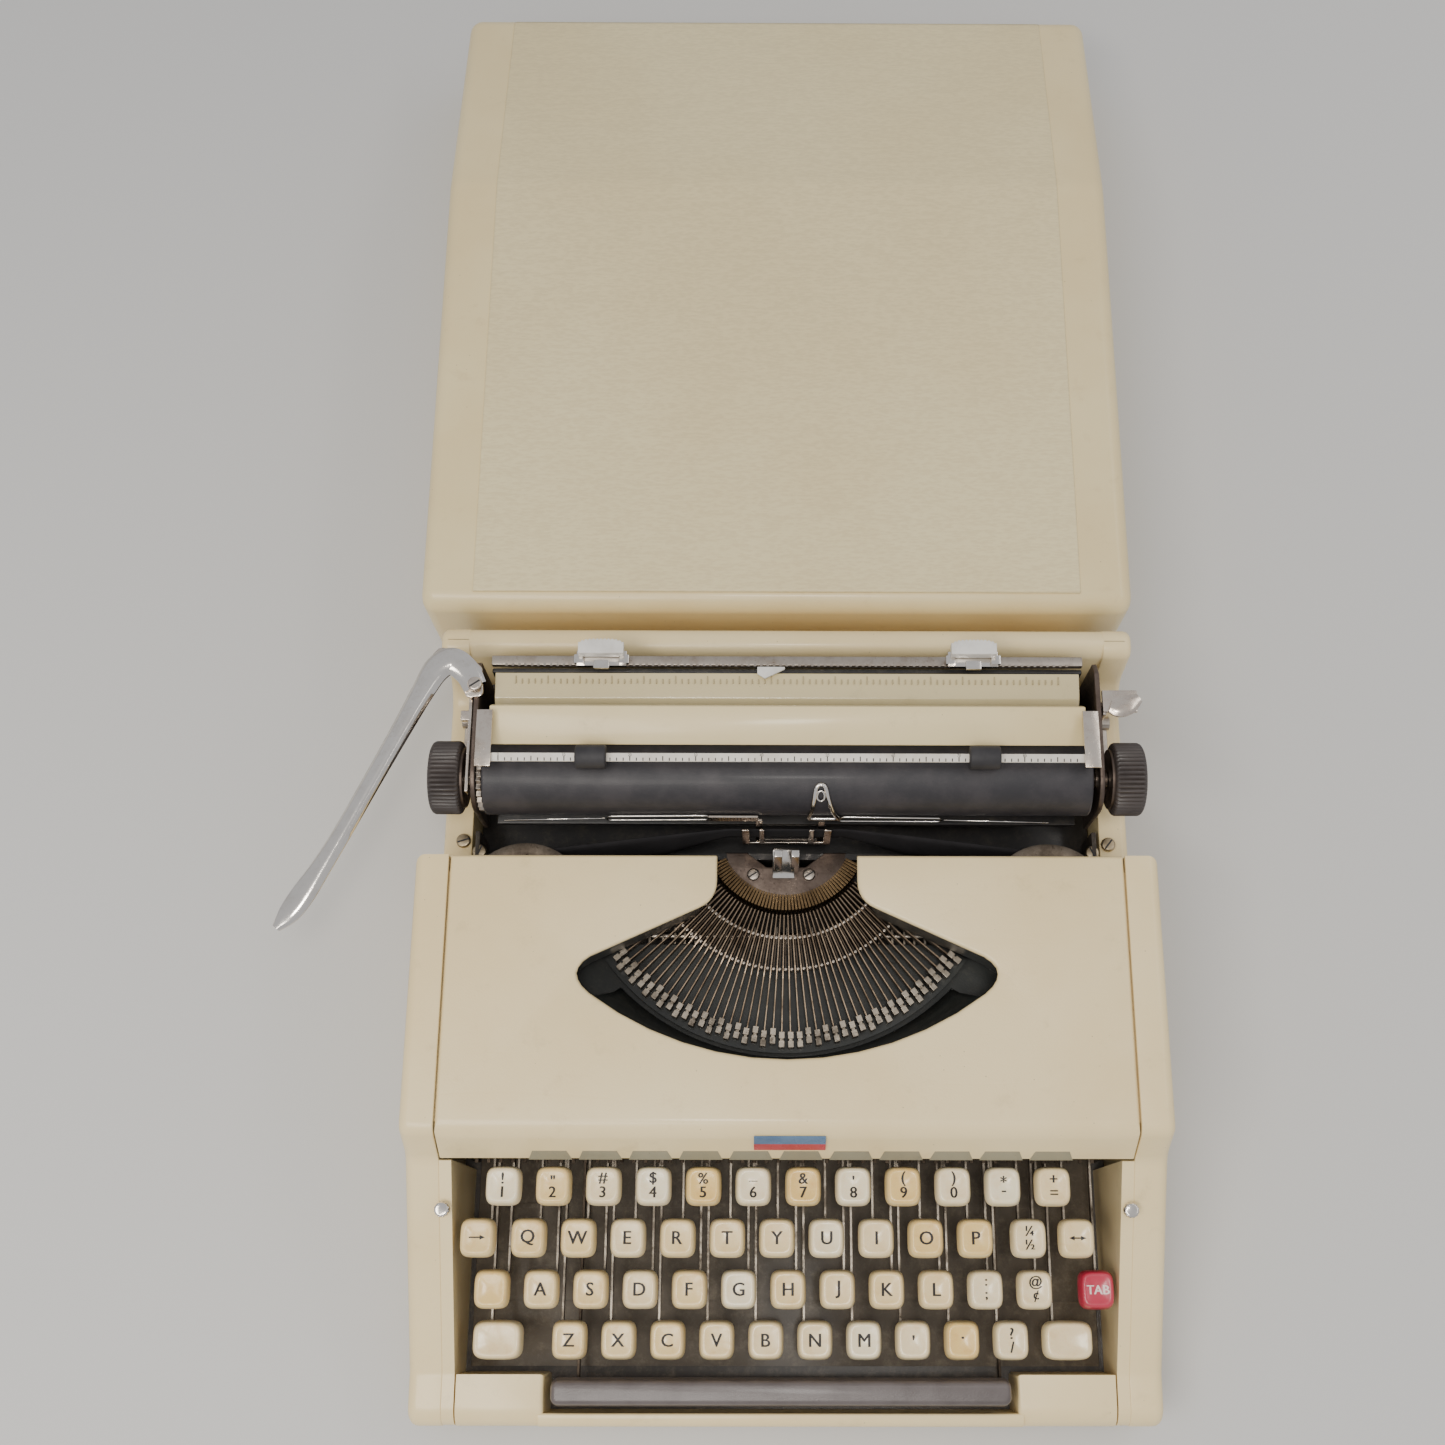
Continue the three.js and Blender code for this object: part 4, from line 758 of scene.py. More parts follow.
def line_normals(line):
    """Unit normals to the right of the way along a line, averaged at its corners."""
    ways = np.gradient(line, axis=0)
    ways /= np.linalg.norm(ways, axis=1, keepdims=True) + 1e-12
    return np.stack([-ways[:, 1], ways[:, 0]], 1)


outward = line_normals(lid_line)
if outward[len(outward) // 2][1] < 0:
    outward = -outward


def lid_skin(edge=6.0, steps=7):
    """The side line at each x, sunk along its normals by edge * (1 - sin t) near both sides."""
    turn = np.linspace(0, np.pi / 2, steps)
    sink = edge * (1 - np.sin(turn))
    near_side = -LID_HALF + edge * (1 - np.cos(turn))
    x = np.concatenate([near_side, [-60, 0, 60], -near_side[::-1]])
    sunk = np.concatenate([sink, [0, 0, 0], sink[::-1]])
    keep = lid_line[None] - outward[None] * sunk[:, None, None]
    keep[:, 0, 1] = keep[:, -1, 1] = 0.0
    points = np.concatenate([np.broadcast_to(x[:, None, None], (*keep.shape[:2], 1)) + LID_MIDDLE,
                             keep], 2)
    count = keep.shape[1]
    faces = ring_faces(len(x), count, closed=False)
    faces.append(list(range(count))[::-1])
    faces.append(list(range((len(x) - 1) * count, len(x) * count)))
    return points.reshape(-1, 3), faces


points, faces = lid_skin()
lid = make_piece("lid_tray", points, faces, lid_edge_paint, "lid")
mesh = bmesh.new()
mesh.from_mesh(lid.data)
bmesh.ops.recalc_face_normals(mesh, faces=mesh.faces)
mesh.to_mesh(lid.data)
mesh.free()
sharp_edges(lid, 50)
wall = lid.modifiers.new("sheet", "SOLIDIFY")
wall.thickness = 0.0018
wall.offset = -1
wall.use_even_offset = True
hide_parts("lid")
print("lid points", len(points))


# %% Stamped grain panel
def lid_panel(rise=0.8, roll=1.2):
    """The lid's line between its round ends, raised by rise over the middle and rolled down at both sides."""
    middle = (lid_line[:, 1] > LID_LOW_TOP - 0.5) & (lid_line[:, 0] > lid_near + 5.5) \
        & (lid_line[:, 0] < lid_far - 4)
    line, normal = lid_line[middle], outward[middle]
    turn = np.linspace(0, np.pi / 2, 4)
    side = -PANEL_HALF + roll * (1 - np.cos(turn))
    x = np.concatenate([side, np.linspace(-120, 120, 9), -side[::-1]])
    lift = np.concatenate([rise * np.sin(turn) - 0.3 * (turn == 0), np.full(9, rise),
                           (rise * np.sin(turn) - 0.3 * (turn == 0))[::-1]])
    high = line[None] + normal[None] * lift[:, None, None]
    points = np.concatenate([np.broadcast_to(x[:, None, None], (*high.shape[:2], 1)) + LID_MIDDLE,
                             high], 2)
    return points.reshape(-1, 3), ring_faces(len(x), high.shape[1], closed=False)


panel = make_piece("lid_grain_panel", *lid_panel(), lid_grain, "lid")
mesh = bmesh.new()
mesh.from_mesh(panel.data)
bmesh.ops.recalc_face_normals(mesh, faces=mesh.faces)
up_facing = sum(face.normal.z for face in mesh.faces)
if up_facing < 0:
    bmesh.ops.reverse_faces(mesh, faces=mesh.faces)
mesh.to_mesh(panel.data)
mesh.free()
sheet = panel.modifiers.new("sheet", "SOLIDIFY")
sheet.thickness = 0.0006
sheet.offset = -1
print("grain panel", len(panel.data.polygons))

# %% [markdown]
# ## The keys
# A cap is a rounded square, wider at the skirt than at the rim, with a shallow dish for the
# finger. Its plan is a superellipse: |x/a|^n + |y/b|^n = 1 with n near 4 is a square with round
# corners. The same formula gives every level, from the skirt up to the rim and down into the
# dish, so one grid of angle by level is the whole cap. The centre of the dish is closed by a
# fan of triangles and the underside by one face.

# %% One cap
CAP_HEIGHT = 6.5
RIM_INSET = 1.75
DISH = 0.75
SQUARENESS = 4.2
LEVELS = [(0.0, -6.5), (0.0, -5.4), (0.25, -3.4), (0.55, -1.7), (0.85, -0.75), (1.2, -0.22),
          (RIM_INSET, 0.0)]


def superellipse(half_width, half_depth, count=40):
    """x = a * sign(cos t) * |cos t|^(2/n), and y the same with the sine."""
    t = np.linspace(0, 2 * np.pi, count, endpoint=False) + np.pi / count
    c, s = np.cos(t), np.sin(t)
    power = 2 / SQUARENESS
    return np.stack([half_width * np.sign(c) * np.abs(c) ** power,
                     half_depth * np.sign(s) * np.abs(s) ** power], 1)


def dish_height(x, y, half_width, half_depth):
    """How far below the rim the dish is: DISH * (1 - s * s), with s = 1 on the rim and 0 at the centre."""
    s = (np.abs(x / half_width) ** SQUARENESS + np.abs(y / half_depth) ** SQUARENESS) ** (1 / SQUARENESS)
    return -DISH * (1 - np.minimum(s, 1) ** 2)


def key_cap(x, y, top, width, depth, count=40):
    """Points, faces and skirt share of one cap whose rim is at height top."""
    rings, skirts = [], []
    for sink, z in LEVELS:
        ring = superellipse(width / 2 - sink, depth / 2 - sink, count)
        rings.append(np.column_stack([ring + [x, y], np.full(count, top + z)]))
        skirts.append(1.0 if z < -0.7 else 0.0)
    half_width, half_depth = width / 2 - RIM_INSET, depth / 2 - RIM_INSET
    for share in (0.86, 0.62, 0.34):
        ring = superellipse(half_width, half_depth, count) * share
        z = top + dish_height(*ring.T, half_width, half_depth)
        rings.append(np.column_stack([ring + [x, y], z]))
        skirts.append(0.0)
    points = np.concatenate([*rings, [[x, y, top - DISH]]])
    faces = ring_faces(len(rings), count)
    last = (len(rings) - 1) * count
    faces += [[last + i, last + (i + 1) % count, len(points) - 1] for i in range(count)]
    faces.append(list(range(count))[::-1])
    return points, faces, np.append(np.repeat(skirts, count), 0.0)


print("cap levels", len(LEVELS) + 4)

# %% [markdown]
# The legends are printed letters. Blender's text objects know letter shapes, so each legend is
# set as text, turned into a mesh, and its points are then laid on the dish, a hair above the
# plastic. The symbols are ordinary typewriter ones.

# %% Legends as meshes
INK_LIFT = 0.13
STROKE = 0.13


def letter_mesh(text, size):
    """The flat mesh of a word, centred on its own box, in millimetres."""
    curve = bpy.data.curves.new("letters", "FONT")
    curve.body, curve.size = text, size
    curve.resolution_u = 3
    holder = bpy.data.objects.new("letters", curve)
    bpy.context.scene.collection.objects.link(holder)
    bpy.context.view_layer.update()
    flat = holder.evaluated_get(bpy.context.evaluated_depsgraph_get()).to_mesh()
    points = np.zeros(len(flat.vertices) * 3)
    flat.vertices.foreach_get("co", points)
    points = points.reshape(-1, 3)[:, :2]
    faces = [list(face.vertices) for face in flat.polygons]
    bpy.data.objects.remove(holder)
    bpy.data.curves.remove(curve)
    return points - (points.min(0) + points.max(0)) / 2, faces


def legend_on_cap(text, x, y, top, width, depth, size, lift=0.0):
    """A legend laid on a cap's dish, three times a hair apart so that its strokes are bold; lift
    moves it towards the back of the cap."""
    flat, faces = letter_mesh(text, size)
    layers = []
    for number, aside in enumerate((-STROKE, STROKE, 0.0)):
        laid = flat + [aside, lift]
        z = top + dish_height(*laid.T, width / 2 - RIM_INSET, depth / 2 - RIM_INSET)
        layers.append((np.column_stack([laid + [x, y], z + INK_LIFT + 0.01 * number]), faces))
    return merged(*layers)


def arrow(x, y, top, width, depth, double=False):
    """A printed arrow: a thin bar with a head at one end or both."""
    bar = np.array([(-2.9, -0.24), (2.0, -0.24), (2.0, 0.24), (-2.9, 0.24)])
    head = np.array([(1.2, -0.85), (3.3, 0.0), (1.2, 0.85)])
    shapes = [(bar * ([0.8, 1] if double else [1, 1]), [[0, 1, 2, 3]]), (head, [[0, 1, 2]])]
    if double:
        shapes.append((head * [-1, 1], [[2, 1, 0]]))
    laid = []
    for flat, faces in shapes:
        z = top + dish_height(*flat.T, width / 2 - RIM_INSET, depth / 2 - RIM_INSET) + INK_LIFT
        laid.append((np.column_stack([flat + [x, y], z]), faces))
    return merged(*laid)


# %% [markdown]
# ## Key levers
# Under every cap a steel lever runs back to the common shaft. Seen from above only its thin
# upper edge shows, bright where it has rubbed in the comb. A lever starts under its own cap and
# steps sideways behind it, so that it passes between the caps of the rows above. The path
# is a line of points, and the lever is a strip of constant height and thickness along it.

# %% One lever
row_boxes = {row: machine_box(name) for row, name in enumerate(
    ("key_row_lower", "key_row_home", "key_row_upper", "key_row_number"))}
PITCH = 19.05
ROW_Y = [31.6 + 18.7 * row for row in range(4)]
ROW_TOP = [row_boxes[row][1][2] for row in range(4)]
SHAFT_Y, SHAFT_Z = 190.0, 34.0
LEVER_LOW, LEVER_TALL = 22.0, 4.0


def lever(x, row, shift, thick=0.8):
    """A strip along (y, x shift) stations, its section a rectangle; then a stem up to the cap."""
    y0 = ROW_Y[row]
    stations = [(y0 - 2.0, 0.0), (y0 + 2.5, 0.0), (y0 + 6.5, shift), (150.0, shift), (174.0, 0.0),
                (SHAFT_Y - 4, 0.0), (SHAFT_Y + 3, 0.0)]
    lows = [LEVER_LOW] * (len(stations) - 2) + [SHAFT_Z - 4, SHAFT_Z - 4]
    highs = [LEVER_LOW + LEVER_TALL] * (len(stations) - 2) + [SHAFT_Z + 4, SHAFT_Z + 4]
    rings = []
    for (y, aside), low, high in zip(stations, lows, highs):
        near, far = x + aside - thick / 2, x + aside + thick / 2
        rings.append([(near, y, low), (far, y, low), (far, y, high), (near, y, high)])
    points = np.array(rings).reshape(-1, 3)
    faces = ring_faces(len(rings), 4)
    faces = [face[::-1] for face in faces]
    faces += [[0, 1, 2, 3], [len(points) - 1, len(points) - 2, len(points) - 3, len(points) - 4]]
    stem = block(x - thick / 2, x + thick / 2, y0 - 2.5, y0 + 2.5, LEVER_LOW + 1,
                 ROW_TOP[row] - CAP_HEIGHT + 0.8, 0.1)
    return merged((points, faces), stem)


# %% [markdown]
# ## Four rows
# Each row is told by its first cap, its legends and how yellow each cap has become. The row's
# caps are one piece, its legends another and its levers a third, all riding on the row's body.

# %% Rows of keys
SHIFTS = [-4.0, 3.5, 0.6, 0.0]
rows = {
    "number": (3, -108.1, [("!", "1"), ('"', "2"), ("#", "3"), ("$", "4"), ("%", "5"), ("_", "6"),
                           ("&", "7"), ("'", "8"), ("(", "9"), (")", "0"), ("*", "-"), ("+", "=")],
               [0.08, 0.75, 0.3, 0.0, 0.95, 0.12, 0.95, 0.1, 0.9, 0.2, 0.05, 0.45]),
    "upper": (2, -99.0, list("QWERTYUIOP") + [("¼", "½")],
              [0.72, 0.7, 0.35, 0.6, 0.55, 0.5, 0.15, 0.4, 0.85, 0.85, 0.3]),
    "home": (1, -94.6, list("ASDFG") + [None] + list("JKL") + [(":", ";"), ("@", "¢")],
             [0.62, 0.68, 0.4, 0.66, 0.08, 0.6, 0.5, 0.6, 0.55, 0.2, 0.3]),
    "lower": (0, -84.1, list("ZXCVBNM") + ["'", ".", ("?", "/")],
              [0.65, 0.6, 0.7, 0.55, 0.4, 0.35, 0.1, 0.3, 0.9, 0.3]),
}
CAP_WIDTH, CAP_DEPTH = 13.7, 14.6


def add_keys(name, node, body, caps, finish, tones):
    """Caps, their levers and legends; caps is a list of (x, row, width, legend)."""
    cap_parts, letter_parts, lever_parts, tone, skirt = [], [], [], [], []
    for (x, row, width, legend), warmth in zip(caps, tones):
        y, top = ROW_Y[row], ROW_TOP[row]
        points, faces, skirts = key_cap(x, y, top, width, CAP_DEPTH)
        cap_parts.append((points, faces))
        tone.append(np.full(len(points), warmth))
        skirt.append(skirts)
        lever_parts.append(lever(x, row, SHIFTS[row]))
        where = (x, y, top, width, CAP_DEPTH)
        if legend in ("arrow", "double arrow"):
            letter_parts.append(arrow(*where, legend == "double arrow"))
        elif isinstance(legend, tuple):
            small = 5.2 if legend[0] in ("¼", ":", "@") else 5.8
            raised = {"_": 1.6, "'": 2.9, '"': 2.9, "*": 2.4}.get(legend[0], 2.6)
            letter_parts.append(legend_on_cap(legend[0], *where, small, raised))
            letter_parts.append(legend_on_cap(legend[1], *where, small,
                                              -2.4 if legend[1] != "-" else -2.0))
        elif legend:
            size = 7.0 if len(legend) == 1 else 4.8
            letter_parts.append(legend_on_cap(legend, *where, size,
                                              0.0 if legend not in ".'" else 1.0))
    made = make_piece(name + "_caps", *merged(*cap_parts), finish, body)
    for label, values in (("tone", tone), ("skirt", skirt)):
        layer = made.data.attributes.new(label, "FLOAT", "POINT")
        layer.data.foreach_set("value", np.concatenate(values).astype(np.float32))
    sharp_edges(made, 60)
    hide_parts(node)
    make_piece(name + "_levers", *merged(*lever_parts), lever_steel, body, smooth=False)
    if letter_parts:
        ink = legend_white if name == "tab" else legend_ink
        make_piece(name + "_legends", *merged(*letter_parts), ink, body, smooth=False)
    return made


for name, (row, first, legends, tones) in rows.items():
    places = first + PITCH * np.arange(len(legends))
    if name == "upper":
        places[-1] += 1.4
    caps = [(x, row, CAP_WIDTH, legend) for x, legend in zip(places, legends)]
    chosen = [i for i, legend in enumerate(legends) if legend is not None]
    add_keys(name, "key_row_" + name, "key_row_" + name, [caps[i] for i in chosen], ivory_plastic,
             [tones[i] for i in chosen])
    print(name, "row:", len(chosen), "caps")

# %% Single keys
singles = [
    ("letter_h", "letter_key", 0.65, 1, CAP_WIDTH, "H", 0.62),
    ("margin_release", "margin_release_key", -118.5, 2, CAP_WIDTH, "arrow", 0.7),
    ("backspace", "backspace_key", 111.3, 2, CAP_WIDTH, "double arrow", 0.5),
    ("shift_lock", "shift_lock_key", -113.7, 1, CAP_WIDTH, None, 0.85),
    ("tab", "tab_key", 119.8, 1, CAP_WIDTH, "TAB", 0.0),
    ("left_shift", "shift_key_left", -111.9, 0, 19.5, None, 0.4),
    ("right_shift", "shift_key_right", 109.3, 0, 19.5, None, 0.35),
]
for name, node, x, row, width, legend, warmth in singles:
    add_keys(name, node, node, [(x, row, width, legend)],
             tab_plastic if name == "tab" else ivory_plastic,
             [warmth])
print("single keys", len(singles))

# %% [markdown]
# ## Space bar and well
# The space bar is a long grey moulding. Its front and ends slope a little and every edge is
# round. Two steel arms carry it. The well behind it has a brown floor, a slotted comb that
# keeps the levers apart, and dark side frames.

# %% Space bar
space_low, space_high = machine_box("space_bar")


def tapered_bar(x0, x1, y0, y1, z0, z1, lean=1.1, edge=1.6, steps=4):
    """A stack of rounded rectangles: each level is inset by lean * height share, and the last
    few by edge * (1 - cos t) while they rise by edge * sin t."""
    plan = counter_clockwise(rounded([(x0, y0), (x1, y0), (x1, y1), (x0, y1)], 3.6, 7))
    turn = np.linspace(0, np.pi / 2, steps)
    heights = np.concatenate([[z0, z1 - edge - 1.0], z1 - edge + edge * np.sin(turn)])
    sinks = lean * (heights - z0) / (z1 - z0)
    sinks[2:] += edge * (1 - np.cos(turn))
    layers = [np.column_stack([inset(plan, sink), np.full(len(plan), z)]) for sink,
              z in zip(sinks, heights)]
    faces = ring_faces(len(layers), len(plan))
    faces.append(list(range(len(plan)))[::-1])
    faces.append(list(range((len(layers) - 1) * len(plan), len(layers) * len(plan))))
    return np.concatenate(layers), faces


space_top = space_high[2]
bar = make_piece("space_bar_moulding", *tapered_bar(
    space_low[0], space_high[0], space_low[1], space_low[1] + 10.5, space_top - 8, space_top),
    space_plastic, "space_bar")
sharp_edges(bar, 50)
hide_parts("space_bar")
arm = [(13, 14), (13, 35), (17, 35), (17, 18), (124, 18), (124, 8), (116, 8), (116, 14)]
make_piece("space_bar_arms", *merged(*[prism(arm, "X", x - 0.5, x + 0.5, 0.1) for x in (-82,
                                                                                        84.9)]),
           link_steel, "space_bar", smooth=False)

# %% Comb and floor
comb_low, comb_high = 101.5, 104.0
comb_parts = [block(-126, 126, comb_low, comb_high, 46, 47.2, 0.2)]
comb_parts += [block(x - 0.8, x + 0.8, 97.5, comb_low + 0.2, 46.2, 47.0, 0.2)
               for x in np.arange(-122, 124, 4.76)]
make_piece("lever_comb", *merged(*comb_parts), link_steel, "base", smooth=False)
plate_low, plate_high = machine_box("keyboard_plate")
ribs = [block(plate_low[0], plate_high[0], plate_low[1], plate_high[1], plate_high[2] - 1.0,
              plate_high[2], 0.4)]
ribs += [block(plate_low[0] + 4, plate_high[0] - 4, y, y + 1.6, plate_high[2] - 0.5,
               plate_high[2] + 0.7, 0.3)
         for y in (44, 63, 82)]
floor_plate = make_piece("well_floor", *merged(*ribs), floor_brown, "base")
sharp_edges(floor_plate)
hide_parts("keyboard_plate")
print("comb teeth", len(comb_parts) - 1)

# %% [markdown]
# ## The type basket
# Forty-four typebars lie in a fan. Each is a thin steel plate: tall at its pivot, slim along the
# arm, with a type slug across its end. One bar is drawn once, flat, as a side outline of
# distance from the print point and height, and its slug as two stacked blocks with a groove
# between. Then all the bars are turned into place together: x = r sin a, y = PRINT_Y - r cos a.

# %% One typebar, then the fan
PRINT_Y = 232.0
BARS = 44
FAN = math.radians(104)
bar_angles = (np.arange(BARS) - (BARS - 1) / 2) * FAN / (BARS - 1)
SHOWN_BAR = BARS // 2
BAR_SIDE = [(34.5, 43.5), (40, 43.8), (52, 44.6), (84.5, 44.2), (85.2, 45.5), (84.6, 47.6),
            (62, 48.2), (57, 49.6), (44, 49.8), (36, 49.2), (34.5, 47.5)]


def slug(reach):
    """Two type faces with a groove between them, across the end of a bar that reaches so far."""
    upper = block(-1.15, 1.15, reach - 6.0, reach - 3.4, 45.2, 51.4, 0.14)
    lower = block(-1.15, 1.15, reach - 2.5, reach, 44.6, 50.6, 0.14)
    web = block(-0.7, 0.7, reach - 4.0, reach - 2.0, 45.0, 49.4, 0.1)
    return merged(upper, lower, web)


def in_fan(points, angle):
    """x across the bar and y along it, turned by the angle round the print point."""
    across, along, z = points.T
    return np.column_stack([-across * math.cos(angle) + along * math.sin(angle),
                            PRINT_Y - along * math.cos(angle) - across * math.sin(angle), z])


def turned_parts(parts, angle):
    points, faces = merged(*parts)
    return in_fan(points, angle), faces


plate_points, plate_faces = prism(BAR_SIDE, "X", -0.31, 0.31, 0.1, 2)
pins = {reach: prism(circle(0, reach, 0.72, 8), "Z", 49.2, 50.9, (0.0, 0.3), 3) for reach in (45.8,
                                                                                              58.6)}
arms, heads, studs, links = [], [], [], []
for number, angle in enumerate(bar_angles):
    reach = 88.6 + (1.3 if number % 2 else 0.0)
    if number == SHOWN_BAR:
        continue
    arms.append(turned_parts([(plate_points, plate_faces)], angle))
    heads.append(turned_parts([slug(reach)], angle))
for number, angle in enumerate(bar_angles):
    studs.append(turned_parts(pins.values(), angle + FAN / BARS * 0.45))
    links.append(turned_parts([block(-0.26, 0.26, 45.0, 59.5, 47.0, 49.2, 0.08)],
                              angle + FAN / BARS * 0.45))
fan = make_piece("typebar_arms", *merged(*arms), typebar_steel, "type_basket", smooth=False)
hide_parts("typebar_fan")
make_piece("type_slugs", *merged(*heads), slug_steel, "type_basket", smooth=False)
make_piece("link_pins", *merged(*studs), steel, "type_basket", smooth=False)
make_piece("typebar_links", *merged(*links), link_steel, "type_basket", smooth=False)
shown = bar_angles[SHOWN_BAR]
moving = make_piece("letter_typebar_arm", *turned_parts([(plate_points, plate_faces)], shown),
                    typebar_steel,
                    "letter_typebar", smooth=False)
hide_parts("letter_typebar")
make_piece("letter_slug", *turned_parts([slug(89.9)], shown), slug_steel, "letter_typebar",
           smooth=False)
rest_turn = np.linspace(-math.radians(54), math.radians(54), 61)
rest_plan = np.concatenate([np.column_stack([r * np.sin(t), PRINT_Y - r * np.cos(t)])
                            for r, t in ((84.5, rest_turn), (91.5, rest_turn[::-1]))])
make_piece("slug_rest_strip", *prism(counter_clockwise(rest_plan), "Z", 43.4, 44.2, 0.0),
           basket_paint,
           "type_basket", smooth=False)
make_piece("basket_floor", *block(-92, 92, 128, 185.6, 38.1, 38.4, 0.1), basket_paint, "base",
           smooth=False)
print("typebars", len(arms) + 1)

# %% [markdown]
# The bars pivot in a brass segment with one slot for each. From above it shows as a ring of
# fine teeth, so each tooth is a small block between two bars. A cast plate covers its inner
# half and two slotted screws hold it down.

# %% Segment ring, plate and screws
teeth = []
for angle in (np.arange(BARS + 9) - (BARS + 8) / 2) * FAN / (BARS - 1):
    teeth.append(turned_parts([block(-0.52, 0.52, 27.8, 34.2, 40.0, 50.3, 0.15)], angle))
make_piece("segment_teeth", *merged(*teeth), brass, "type_basket", smooth=False)


def screw(x, y, z, radius, finish_slot=0.35, turn=0.6):
    """A low domed head with a slot: three rings shrink towards the top, and the slot is a thin bar on the head,
    painted black by its callers as painted shade in the cut.
    """
    head = prism(circle(x, y, radius, 20), "Z", z, z + radius * 0.45, (0.0, radius * 0.28), 4)
    half, width = radius * 0.82, finish_slot
    corner = np.array([(-half, -width), (half, -width), (half, width), (-half, width)])
    spin = np.array([[math.cos(turn), math.sin(turn)], [-math.sin(turn), math.cos(turn)]])
    return head, prism(corner @ spin + [x, y], "Z", z + radius * 0.40, z + radius * 0.47, 0.0)


softened("type_segment", "segment_casting", cast_metal, "type_basket", 0.4)
plate = softened("segment_plate", "segment_cover_plate", cast_metal, "type_basket", 0.5)
plate_top = machine_box("segment_plate")[1][2]
heads, slot_shades = zip(*[screw(x, 212.6, plate_top, 2.6) for x in (-13.5, 9.5)])
make_piece("segment_screws", *merged(*heads), steel, "type_basket")
# The slots are black bars on the heads: painted shade in the cut.
make_piece("segment_screw_slot_shade", *merged(*slot_shades), black_paint_and_slot_shade, "type_basket", smooth=False)

# %% [markdown]
# Under the rim of the cover a dark green lining closes the gap round the fan. It is a strip
# between two arcs: a high one under the cover's edge and a low one beside the slugs.

# %% Lining and type rest
def lining(stations=60, steps=5):
    """At angle a the strip runs from the opening's arc, radius 128 round Y 261, height 85, inwards to
    radius 97 round the print point, height 52, easing down along half a cosine."""
    a = np.linspace(-math.radians(36), math.radians(36), stations)
    high = np.column_stack([131 * np.sin(a), 261 - 131 * np.cos(a), np.full(stations, 85.2)])
    b = np.arctan2(high[:, 0], PRINT_Y - high[:, 1])
    low = np.column_stack([94.5 * np.sin(b), PRINT_Y - 94.5 * np.cos(b), np.full(stations, 53.0)])
    share = np.linspace(0, 1, steps)[:, None, None]
    flat = high[None] * (1 - share) + low[None] * share
    flat[..., 2] = 85.2 - 32.2 * (1 - np.cos(share[..., 0] * np.pi)) / 2
    points = flat.reshape(-1, 3)
    return points, ring_faces(steps, stations, closed=False)


lining_piece = make_piece("basket_lining", *lining(), basket_paint, "base")
wall = lining_piece.modifiers.new("sheet", "SOLIDIFY")
wall.thickness = 0.0008
wall.offset = 0
rest = softened("type_rest", "type_rest_pad", basket_paint, "base", 0.6)


def pocket(side):
    """A dark side wall under each diagonal of the opening, from the neck out to the wing tip."""
    top = np.array([(27.5, 203.5), (34.5, 191.5), (76.5, 172.4), (83.5, 167.5),
                    (85.0, 162.5)]) * [side, 1]
    high = np.column_stack([top, np.full(len(top), 85.6)])
    low = high + [side * 3.0, 3.5, -34.0]
    return np.concatenate([high, low]), ring_faces(2, len(top), closed=False)


for side, label in ((-1, "left"), (1, "right")):
    wall_piece = make_piece("basket_wall_" + label, *pocket(side), basket_paint, "base",
                            smooth=False)
    wall = wall_piece.modifiers.new("sheet", "SOLIDIFY")
    wall.thickness = 0.0008
    wall.offset = 0
print("lining done")

# %% [markdown]
# ## Ribbon, guide and card holder
# The inked ribbon leaves one spool, passes the print point and winds on the other. Between the
# spools and the guide it leans, so a broad dark band shows from above. The surface is a grid:
# along the path by across the width, and the lean grows with the distance from the middle.

# %% Ribbon
ribbon_low, ribbon_high = machine_box("ribbon")


def ribbon_surface(stations=81, steps=5):
    """y follows the path in plan; across the width the band leans by up to 4 mm and sags a little."""
    x = np.linspace(-104, 104, stations)
    y = np.interp(np.abs(x), [24, 104], [225.2, 215.2])
    lean = 5.0 * np.clip((np.abs(x) - 24) / 26, 0, 1)
    share = np.linspace(0, 1, steps)[:, None]
    yy = y[None] + lean[None] * (share - 0.9)
    zz = ribbon_low[2] + 12.7 * share - 0.3 * np.sin(np.pi * share) + 0 * x[None]
    xx = x[None] + 0 * share
    return np.stack([xx, yy, zz], -1).reshape(-1, 3), ring_faces(steps, stations, closed=False)


band = make_piece("ink_ribbon", *ribbon_surface(), ribbon_cloth, "base")
wall = band.modifiers.new("cloth", "SOLIDIFY")
wall.thickness = 0.0003
wall.offset = 0
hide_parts("ribbon")


# %% [markdown]
# Wire parts are tubes: a ring of points carried along a path, square to its direction.

# %% Tubes
def tube(path, radius, sides=8, closed=False):
    """Ring points = path point + radius * (cos t * side + sin t * over), with side and over square to the path."""
    path = np.asarray(path, float)
    if closed:
        ways = np.roll(path, -1, 0) - np.roll(path, 1, 0)
    else:
        ways = np.gradient(path, axis=0)
    ways /= np.linalg.norm(ways, axis=1, keepdims=True) + 1e-12
    spread = path.max(0) - path.min(0)
    flat_axis = np.eye(3)[int(np.argmin(spread))]
    side = np.cross(ways, flat_axis)
    side /= np.linalg.norm(side, axis=1, keepdims=True) + 1e-12
    over = np.cross(side, ways)
    turn = np.linspace(0, 2 * np.pi, sides, endpoint=False)
    rings = path[:, None] + radius * (np.cos(turn)[None, :, None] * side[:, None]
                                      + np.sin(turn)[None, :, None] * over[:, None])
    points = rings.reshape(-1, 3)
    faces = [face[::-1] for face in ring_faces(len(path), sides)]
    if closed:
        last = (len(path) - 1) * sides
        faces += [[last + i, i, (i + 1) % sides, last + (i + 1) % sides] for i in range(sides)]
    else:
        faces += [list(range(sides)), list(range(len(points) - sides, len(points)))[::-1]]
    return points, faces


